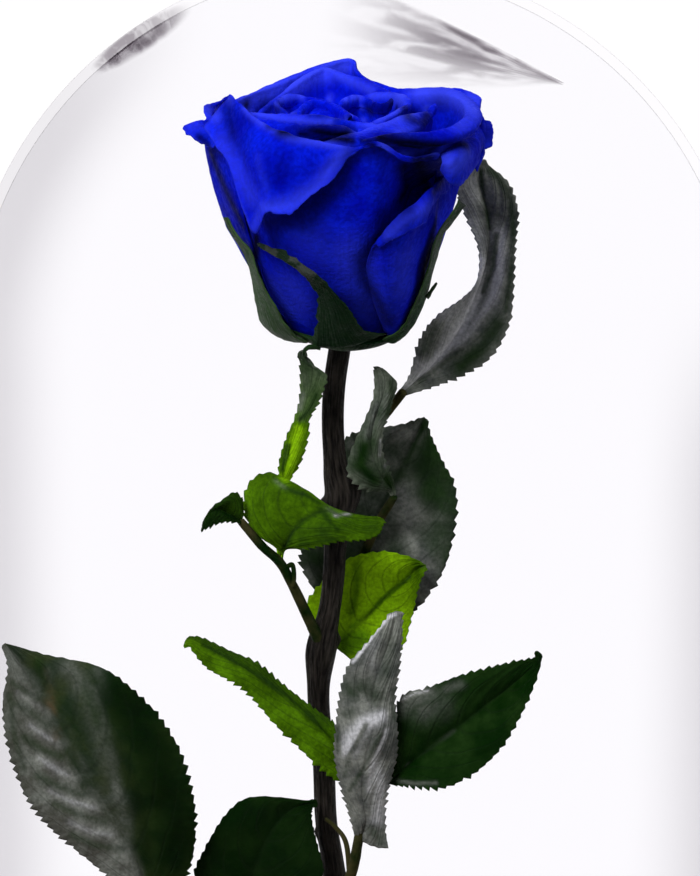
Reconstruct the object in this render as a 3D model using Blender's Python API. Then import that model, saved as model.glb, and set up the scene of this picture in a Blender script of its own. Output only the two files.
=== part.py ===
"""A preserved rose under a glass dome, on a turned wooden base. Metres, +Z up, front towards -Y.

The origin is the centre of the base's underside. Every place below is a real size in that frame,
apart from the bloom and calyx, which are built upright round their own axis and then set on the stem.
"""

import math
import random
from typing import NamedTuple

import bmesh
import bpy
import numpy as np
from mathutils import Matrix, Vector

MM = 0.001
GAP = 0.3 * MM

# Wooden base
BASE_RADIUS = 90 * MM
BASE_HEIGHT = 20 * MM
BASE_EDGE = 2 * MM
LEDGE_RADIUS = 84 * MM
# Hollow moulding between the base's side and the ledge that the dome stands on
COVE_HEIGHT = 7 * MM
COVE_STEPS = 4
FILLET = 1 * MM
DISC_RADIUS = 73.5 * MM
DISC_HEIGHT = 3 * MM
BASE_SIDES = 48

# Glass dome
DOME_RADIUS = 77.5 * MM
DOME_TOP = 270 * MM
DOME_WALL = 2 * MM
FOOT_BEAD = 1 * MM
FOOT_HEIGHT = 3.5 * MM
DOME_SIDES = 42
CROWN_STEPS = 9

# Stem
STEM_RADIUS = 2.2 * MM
STEM_HOLE_FLOOR = 8 * MM
STEM_SIDES = 10
STEM_ROUTE = [
    (0, 0, 8.3), (0, 0, 30), (-1, 0, 50), (-2.5, 0, 68), (-4.5, 0, 88), (-6, 0, 98),
    (-6.5, 0, 110.5), (-7.5, 0, 123), (-7, 0, 133), (-5.5, 0, 140), (-4.5, 0, 147),
    (-4, 0, 155.5), (-3, 0, 164), (-4, 0.8, 169.5), (-4.6, 2, 178), (-4.3, 2, 186), (-3.1, 0.6, 194.6),
]
# Height, extra radius and half-length of each swollen joint, where a leaf grows
STEM_JOINTS = [(61, 0.8, 5), (81, 0.7, 5), (133, 0.9, 5), (164, 1.1, 5)]
STEM_STEPS = 44

# Bloom and calyx, round their own axis
BLOOM_FOOT = Vector((-2.6 * MM, 0, 197.4 * MM))
TILT_FORWARD = math.radians(12)
TILT_RIGHT = math.radians(4)
PETAL_THICKNESS = 0.8 * MM
SEPAL_THICKNESS = 0.7 * MM
PETAL_SEED = 7
SPIRAL = 0.9 * MM
# How far the inner petals lean over to the left
HEART_LEAN = -4.5 * MM
# Length over which a petal's rim turns outwards
BEND = 6 * MM
# Lowest stretch of the bloom's side, which the sepals follow
FOOT_RADIUS = 9 * MM
FOOT_RISE = 2 * MM
FOOT_ANGLE = math.radians(52)
SIDE_ANGLE = math.radians(75)
SIDE_RUN = 40 * MM
SEPAL_CLEARANCE = 2.6 * MM

# Leaves
LEAF_THICKNESS = 0.7 * MM
LEAF_ROWS = 14
# Share by which every second row stands out as a tooth, and the least half-width of a blade
TOOTH = 0.05
LEAF_MARGIN = 0.55 * MM
# How far a leaflet's halves swell, as a share of their width
HALF_BELLY = 0.1
STALK_SIDES = 6

# Thin blades graze one another here, which the EXACT solver leaves with open edges
GRAZING_BLADES = ("bloom", "calyx", "leaf_back", "leaf_front", "leaf_left")


def clear_scene():
    for thing in list(bpy.data.objects):
        bpy.data.objects.remove(thing, do_unlink=True)


def make_material(name, colour, roughness, metallic=0.0, transmission=0.0):
    made = bpy.data.materials.new(name)
    made.use_nodes = True
    shader = made.node_tree.nodes["Principled BSDF"]
    shader.inputs["Base Color"].default_value = (*colour, 1)
    shader.inputs["Roughness"].default_value = roughness
    shader.inputs["Metallic"].default_value = metallic
    shader.inputs["Transmission Weight"].default_value = transmission
    return made


def add_object(name, mesh, material=None):
    thing = bpy.data.objects.new(name, mesh)
    bpy.context.scene.collection.objects.link(thing)
    if material:
        mesh.materials.clear()
        mesh.materials.append(material)
    return thing


def evaluated_mesh(thing):
    """The object's mesh with its modifiers applied, as new mesh data."""
    graph = bpy.context.evaluated_depsgraph_get()
    graph.update()
    return bpy.data.meshes.new_from_object(thing.evaluated_get(graph))


def smooth_route(points, count):
    """count + 1 points evenly spaced along one smooth curve through the given points."""
    ends = [points[0] * 2 - points[1], *points, points[-1] * 2 - points[-2]]
    fine = []
    for a, b, c, d in zip(ends, ends[1:], ends[2:], ends[3:]):
        for k in range(12):
            t = k / 12
            fine.append(0.5 * (2 * b + (c - a) * t + (2 * a - 5 * b + 4 * c - d) * t**2
                               + (3 * b - 3 * c + d - a) * t**3))
    fine.append(points[-1])
    run = [0.0]
    for a, b in zip(fine, fine[1:]):
        run.append(run[-1] + (b - a).length)
    spaced, k = [], 0
    for i in range(count + 1):
        want = run[-1] * i / count
        while k < len(fine) - 2 and run[k + 1] < want:
            k += 1
        span = max(run[k + 1] - run[k], 1e-9)
        spaced.append(fine[k].lerp(fine[k + 1], min(1, (want - run[k]) / span)))
    return spaced


def tangents(points):
    return [(b - a).normalized() for a, b in zip([points[0], *points[:-1]], [*points[1:], points[-1]])]


def tube(name, points, radii, sides):
    """A closed tube along the points, with a radius at each."""
    form = bmesh.new()
    side = None
    rings = []
    for point, along, radius in zip(points, tangents(points), radii):
        side = Vector((0, -1, 0)) if side is None else side
        side = (side - along * side.dot(along)).normalized()
        other = along.cross(side)
        rings.append([
            form.verts.new(point + radius * (math.cos(a) * side + math.sin(a) * other))
            for a in (2 * math.pi * k / sides for k in range(sides))
        ])
    for low, high in zip(rings, rings[1:]):
        for k in range(sides):
            form.faces.new((low[k], low[(k + 1) % sides], high[(k + 1) % sides], high[k]))
    form.faces.new(list(reversed(rings[0])))
    form.faces.new(rings[-1])
    mesh = bpy.data.meshes.new(name)
    form.to_mesh(mesh)
    form.free()
    return add_object(name, mesh)


def turned(name, profile, sides):
    """A lathe solid from (radius, height) points that go up the outside and back down the axis or bore."""
    form = bmesh.new()
    row = [form.verts.new((r, 0, z)) for r, z in profile]
    edges = [form.edges.new(pair) for pair in zip(row, row[1:])]
    if profile[0][0] > 0:
        edges.append(form.edges.new((row[-1], row[0])))
    bmesh.ops.spin(form, geom=row + edges, axis=(0, 0, 1), cent=(0, 0, 0), steps=sides,
                   angle=2 * math.pi, use_merge=True)
    bmesh.ops.remove_doubles(form, verts=form.verts, dist=1e-6)
    bmesh.ops.recalc_face_normals(form, faces=form.faces)
    mesh = bpy.data.meshes.new(name)
    form.to_mesh(mesh)
    form.free()
    mesh.shade_smooth()
    mesh.set_sharp_from_angle(angle=math.radians(35))
    return add_object(name, mesh)


def blade(name, grid, thickness):
    """A thin closed blade from a grid of points, split into the same triangles on both faces."""
    form = bmesh.new()
    rows = [[form.verts.new(point) for point in row] for row in grid]
    for low, high in zip(rows, rows[1:]):
        for k in range(len(low) - 1):
            form.faces.new((low[k], low[k + 1], high[k + 1]))
            form.faces.new((low[k], high[k + 1], high[k]))
    mesh = bpy.data.meshes.new(name)
    form.to_mesh(mesh)
    form.free()
    thing = add_object(name, mesh)
    solidify = thing.modifiers.new("Thickness", "SOLIDIFY")
    solidify.thickness = thickness
    solidify.offset = 0
    thing.data = evaluated_mesh(thing)
    thing.modifiers.clear()
    return thing


def fuse(name, pieces, material, cutters=()):
    """One solid from overlapping pieces, by a Boolean union, then cut clear of each cutter."""
    first, *rest = pieces
    solver = "MANIFOLD" if name in GRAZING_BLADES else "EXACT"
    group = bpy.data.collections.new(name + "_pieces")
    bpy.context.scene.collection.children.link(group)
    for piece in rest:
        bpy.context.scene.collection.objects.unlink(piece)
        group.objects.link(piece)
    if rest:
        union = first.modifiers.new("Join", "BOOLEAN")
        union.operation = "UNION"
        union.operand_type = "COLLECTION"
        union.collection = group
        union.solver = solver
    for cutter in cutters:
        cut = first.modifiers.new("Clear", "BOOLEAN")
        cut.operation = "DIFFERENCE"
        cut.object = cutter
        cut.solver = solver
    mesh = evaluated_mesh(first)
    mesh.name = name
    keep_largest_shell(mesh)
    for piece in pieces:
        bpy.data.objects.remove(piece, do_unlink=True)
    bpy.data.collections.remove(group)
    return add_object(name, mesh, material)


def keep_largest_shell(mesh):
    """Fill the small pockets that a union shuts in, by leaving out every shell but the outer one."""
    form = bmesh.new()
    form.from_mesh(mesh)
    left = set(form.verts)
    shells = []
    while left:
        shell, reach = set(), [left.pop()]
        while reach:
            vert = reach.pop()
            shell.add(vert)
            near = {edge.other_vert(vert) for edge in vert.link_edges} & left
            left -= near
            reach += near
        shells.append(shell)
    shells.sort(key=len)
    bmesh.ops.delete(form, geom=[vert for shell in shells[:-1] for vert in shell], context="VERTS")
    form.to_mesh(mesh)
    form.free()


def smoothstep(x):
    x = min(1.0, max(0.0, x))
    return x * x * (3 - 2 * x)


# Base, dome and stem


def make_base(material):
    top = BASE_HEIGHT
    cove = [
        (BASE_RADIUS - (BASE_RADIUS - LEDGE_RADIUS) * math.sin(a), top - COVE_HEIGHT * math.cos(a))
        for a in (math.pi / 2 * k / COVE_STEPS for k in range(COVE_STEPS + 1))
    ]
    hole = STEM_RADIUS + GAP
    profile = [
        (0, 0), (BASE_RADIUS - BASE_EDGE, 0), (BASE_RADIUS, BASE_EDGE),
        (BASE_RADIUS, top - COVE_HEIGHT - FILLET), *cove, (DISC_RADIUS, top),
        (DISC_RADIUS, top + DISC_HEIGHT - FILLET), (DISC_RADIUS - FILLET, top + DISC_HEIGHT),
        (hole, top + DISC_HEIGHT), (hole, STEM_HOLE_FLOOR), (0, STEM_HOLE_FLOOR),
    ]
    base = turned("wooden_base", profile, BASE_SIDES)
    base.data.materials.append(material)
    return base


def make_dome(material):
    foot = BASE_HEIGHT + GAP
    spring = DOME_TOP - DOME_RADIUS
    inner = DOME_RADIUS - DOME_WALL

    def crown(radius, steps):
        return [(radius * math.cos(a), spring + radius * math.sin(a))
                for a in (math.pi / 2 * k / steps for k in range(steps))] + [(0, spring + radius)]

    outside = [(DOME_RADIUS, foot), (DOME_RADIUS + FOOT_BEAD, foot + FOOT_BEAD),
               (DOME_RADIUS + FOOT_BEAD, foot + FOOT_HEIGHT - FOOT_BEAD), (DOME_RADIUS, foot + FOOT_HEIGHT)]
    profile = (outside + crown(DOME_RADIUS, CROWN_STEPS) + list(reversed(crown(inner, CROWN_STEPS)))
               + [(inner, foot)])
    form = bmesh.new()
    row = [form.verts.new((r, 0, z)) for r, z in profile]
    pole = len(outside) + CROWN_STEPS
    edges = [form.edges.new((row[k], row[k + 1])) for k in range(len(row) - 1) if k != pole]
    edges.append(form.edges.new((row[-1], row[0])))
    bmesh.ops.spin(form, geom=row + edges, axis=(0, 0, 1), cent=(0, 0, 0), steps=DOME_SIDES,
                   angle=2 * math.pi, use_merge=True)
    bmesh.ops.remove_doubles(form, verts=form.verts, dist=1e-6)
    bmesh.ops.recalc_face_normals(form, faces=form.faces)
    mesh = bpy.data.meshes.new("glass_dome")
    form.to_mesh(mesh)
    form.free()
    mesh.shade_smooth()
    mesh.set_sharp_from_angle(angle=math.radians(40))
    return add_object("glass_dome", mesh, material)


def stem_radius(height):
    swell = sum(extra * math.exp(-(((height / MM) - at) / half) ** 2) for at, extra, half in STEM_JOINTS)
    return STEM_RADIUS + swell * MM


def make_stem_tube(name, extra):
    route = smooth_route([Vector(p) * MM for p in STEM_ROUTE], STEM_STEPS)
    return tube(name, route, [stem_radius(p.z) + extra for p in route], STEM_SIDES)


# Bloom


def bowl_angle(low, high, share):
    """Slope of a petal's side, which steepens quickly at first and then more slowly."""
    return low + (high - low) * min(1.0, share) ** 0.8


def side_point(run):
    """(radius, height) of the outer petals' side, run metres along it from the foot."""
    steps = 24
    r, h = FOOT_RADIUS, FOOT_RISE
    for k in range(steps):
        angle = bowl_angle(FOOT_ANGLE, SIDE_ANGLE, (k + 0.5) / steps * run / SIDE_RUN)
        r += math.cos(angle) * run / steps
        h += math.sin(angle) * run / steps
    return r, h


class Petal(NamedTuple):
    """One petal. Each group of three is the left edge, the middle and the right edge, seen from outside."""

    azimuth: float
    half_angle: float
    foot: tuple  # radius and height of its root, mm
    slopes: tuple  # at the root and at the top of its side, degrees
    rise: tuple  # length up to where it starts to turn over, mm
    flap: tuple  # length that turns over, mm
    curl: tuple  # how far that part turns outwards, degrees
    tip: float = 0  # extra length of its point, mm
    wave: float = 0.3  # ripple of its rim, mm
    lift: tuple = (0, 0)  # how far its left and right edges stand out, mm


def across(three, u):
    left, middle, right = three
    return middle + (right - left) / 2 * u + ((left + right) / 2 - middle) * u * u


def petal_grid(petal, columns, rows):
    """Points of a petal's middle surface round the bloom's axis."""
    grid = [[None] * (columns + 1) for _ in range(rows + 1)]
    substeps = 4
    azimuth, spread = math.radians(petal.azimuth), math.radians(petal.half_angle)
    slopes = [math.radians(slope) for slope in petal.slopes]
    for i in range(columns + 1):
        u = 2 * i / columns - 1
        up = across(petal.rise, u) * MM
        over = (across(petal.flap, u) + petal.tip * (1 - abs(u)) ** 3) * MM
        turn = math.radians(across(petal.curl, u))
        step = (up + over) / rows / substeps
        r, h = petal.foot[0] * MM, petal.foot[1] * MM
        for j in range(rows + 1):
            share = j / rows
            width = spread * (0.8 + 0.2 * smoothstep(3 * share)) * (1 - 0.16 * share**6)
            ripple = petal.wave * MM * math.sin(7 * u + 5 * azimuth) * smoothstep(2 * share - 1)
            edge = petal.lift[0] * max(0, -u - 0.4) ** 2 + petal.lift[1] * max(0, u - 0.4) ** 2
            out = r + ripple + SPIRAL * u + edge / 0.36 * MM * smoothstep(share)
            angle = azimuth + u * width
            grid[j][i] = Vector((out * math.sin(angle), -out * math.cos(angle), h + 0.5 * ripple))
            for k in range(substeps):
                run = (j * substeps + k) * step
                slope = bowl_angle(*slopes, run / max(up, 1e-6) / 0.9)
                slope -= turn * smoothstep((run - up + BEND / 2) / (min(over, BEND) + BEND / 2))
                r += math.cos(slope) * step
                h += math.sin(slope) * step
    return grid


def guard(azimuth, half_angle, rise, flap, curl, inset, **others):
    foot = (FOOT_RADIUS / MM - inset, FOOT_RISE / MM)
    slopes = (math.degrees(FOOT_ANGLE), math.degrees(SIDE_ANGLE))
    return Petal(azimuth, half_angle, foot, slopes, rise, flap, curl, **others)


# Guard petals, from the innermost to the outermost
GUARD_PETALS = [
    guard(-170, 50, (41, 45, 43), (3, 3, 3), (50, 35, 60), 2.1, tip=3.5),
    guard(-128, 42, (44, 43, 43), (3, 4, 3), (60, 70, 60), 1.8),
    guard(98, 54, (43, 45, 42), (3, 4, 3), (70, 80, 70), 2.2, wave=0.2),
    guard(-2, 36, (45, 45.5, 44), (2, 3.5, 3), (40, 80, 70), 1.0, lift=(0, -2)),
    guard(102, 30, (34, 38.5, 36), (4, 5, 4), (70, 95, 90), 0.9, wave=1.0),
    guard(-96, 36, (38, 42, 43), (5, 7, 3), (100, 85, 60), 0.7, tip=4, wave=0.8),
    guard(44, 38, (23, 37.5, 42), (3, 3, 4), (80, 40, 60), -0.4, lift=(3, 0)),
    guard(-44, 40, (48, 45, 46), (2, 17, 2), (25, 178, 50), 0.0, wave=0.2),
]
# Inner whorls: petals, first azimuth, half-angle, foot radius and height, slopes, rise, flap, curl,
# columns and rows
INNER_WHORLS = [
    (2, 30, 110, (2.0, 30), (88, 94), 15.5, 0.5, 10, 6, 2),
    (3, 80, 78, (5.0, 29), (87, 92), 16.5, 1.0, 20, 6, 2),
    (3, 15, 76, (8.2, 28), (86, 90), 17.5, 1.5, 35, 6, 2),
    (3, 75, 72, (11.6, 27), (84, 88), 18.0, 2.0, 45, 6, 2),
    (3, 20, 68, (13.8, 22), (78, 86), 22.5, 2.5, 60, 6, 3),
    (4, 50, 56, (15.2, 17), (70, 78), 27.5, 3.0, 75, 5, 4),
]
# Bud-like core that the petals grow from: (radius, height)
CORE = [(8, 0.4), (11, 6), (14, 12), (16, 18), (15.5, 24), (12, 29.5), (5, 31)]
CORE_SIDES = 16


def inner_petals():
    draw = random.Random(PETAL_SEED)
    for count, first, half_angle, foot, slopes, rise, flap, curl, columns, rows in INNER_WHORLS:
        for k in range(count):
            azimuth = first + 360 / count * k + draw.uniform(-8, 8)
            side = rise + draw.uniform(-0.8, 0.8)
            edge = 0.9 * side
            tip = draw.choice((0, 0.12 * rise / 2))
            petal = Petal(azimuth, half_angle, foot, slopes, (edge, side, edge), (flap,) * 3,
                          (0.8 * curl, curl, 0.8 * curl), tip, 0.25)
            yield petal, columns, rows


def make_bloom(material, place):
    profile = [(0, CORE[0][1] * MM), *((r * MM, h * MM) for r, h in CORE), (0, (CORE[-1][1] + 0.5) * MM)]
    pieces = [turned("core", profile, CORE_SIDES)]
    for petal, columns, rows in [*inner_petals(), *((petal, 6, 8) for petal in GUARD_PETALS)]:
        grid = petal_grid(petal, columns, rows)
        if petal.foot[1] > FOOT_RISE / MM:
            for point in (point for row in grid for point in row):
                point.x += HEART_LEAN * smoothstep((point.z - 17 * MM) / (30 * MM))
        pieces.append(blade("petal", grid, PETAL_THICKNESS))
    bloom = fuse("bloom", pieces, material)
    bloom.data.transform(place)
    return bloom


# Cup that the sepals grow from: (radius, height)
CUP = [(0, -1.9), (3.0, -1.9), (7, -1.6), (10.6, -0.6), (12.4, 0.8), (11.4, 1.0), (9.4, 0.1), (0, 0.1)]
CUP_SIDES = 20
# Each sepal: azimuth, length, how far its tip bends out, sideways lean of the tip
SEPALS = [(-8, 26, 6, -0.9), (66, 33, 10, 0.1), (-66, 33, 8, -0.25), (134, 30, 60, 0.2), (-142, 30, 70, -0.2)]
SEPAL_HALF_ANGLE = math.radians(35)


def sepal_grid(azimuth, length, bend, lean, columns=4, rows=8):
    grid = []
    for j in range(rows + 1):
        share = j / rows
        r, h = side_point(max(0.0, share * length - 1.5 * MM))
        r += SEPAL_CLEARANCE + length * math.sin(bend) * max(0, share - 0.55) ** 2
        half = SEPAL_HALF_ANGLE * (1 - share**1.6) * FOOT_RADIUS * 1.25 / r + 0.5 * MM / r
        row = []
        for i in range(columns + 1):
            u = 2 * i / columns - 1
            angle = azimuth + u * half + lean * share**2
            out = r + 0.3 * MM * abs(u) * share
            row.append(Vector((out * math.sin(angle), -out * math.cos(angle), h - MM * (1 - share))))
        grid.append(row)
    return grid


def make_calyx(material, place):
    pieces = [turned("cup", [(r * MM, h * MM) for r, h in CUP], CUP_SIDES)]
    for azimuth, length, bend, lean in SEPALS:
        grid = sepal_grid(math.radians(azimuth), length * MM, math.radians(bend), lean)
        pieces.append(blade("sepal", grid, SEPAL_THICKNESS))
    calyx = fuse("calyx", pieces, material)
    calyx.data.transform(place)
    return calyx


# Leaves


def leaf_lines(rows):
    """A leaflet's left edge, midrib and right edge in metres, each as LEAF_ROWS + 1 points."""
    rows = np.array(rows, float) * MM
    ends = np.concatenate([[2 * rows[0] - rows[1]], rows, [2 * rows[-1] - rows[-2]]])
    fine = []
    for a, b, c, d in zip(ends, ends[1:], ends[2:], ends[3:]):
        for t in np.linspace(0, 1, 12, endpoint=False):
            fine.append(0.5 * (2 * b + (c - a) * t + (2 * a - 5 * b + 4 * c - d) * t**2
                               + (3 * b - 3 * c + d - a) * t**3))
    fine = np.array([*fine, rows[-1]])
    steps = np.linalg.norm(np.diff(fine, axis=0), axis=2).mean(axis=1)
    run = np.concatenate([[0], np.cumsum(steps)])
    want = np.linspace(0, run[-1], LEAF_ROWS + 1)
    return [[Vector([np.interp(at, run, fine[:, line, k]) for k in range(3)]) for at in want]
            for line in range(3)]


def leaflet_grid(rows):
    """Points of a toothed leaflet, five to a row, from its rows of (left edge, midrib, right edge)."""
    left_edge, midrib, right_edge = leaf_lines(rows)
    grid = []
    for j, (left, middle, right, along) in enumerate(zip(left_edge, midrib, right_edge, tangents(midrib))):
        tooth = 1 + TOOTH * (1 if j % 2 else -1)
        to_left, to_right = [
            (edge - middle) * tooth + (edge - middle).normalized() * LEAF_MARGIN for edge in (left, right)]
        up = (right - left).cross(along).normalized()
        swell_left, swell_right = [up * (HALF_BELLY * way.length) for way in (to_left, to_right)]
        grid.append([middle + to_left, middle + to_left / 2 + swell_left, middle,
                     middle + to_right / 2 + swell_right, middle + to_right])
    return grid


def make_leaf(name, material, cutter, stalks, leaflets):
    """One compound leaf: its stalks, as (route, radius at each end), and its leaflets, fused."""
    pieces = []
    for route, thick, thin in stalks:
        points = smooth_route([Vector(p) * MM for p in route], 3 * (len(route) - 1))
        radii = [(thick + (thin - thick) * k / (len(points) - 1)) * MM for k in range(len(points))]
        pieces.append(tube("stalk", points, radii, STALK_SIDES))
    for leaflet in leaflets:
        pieces.append(blade("leaflet", leaflet_grid(leaflet), LEAF_THICKNESS))
    return fuse(name, pieces, material, [cutter])


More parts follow.
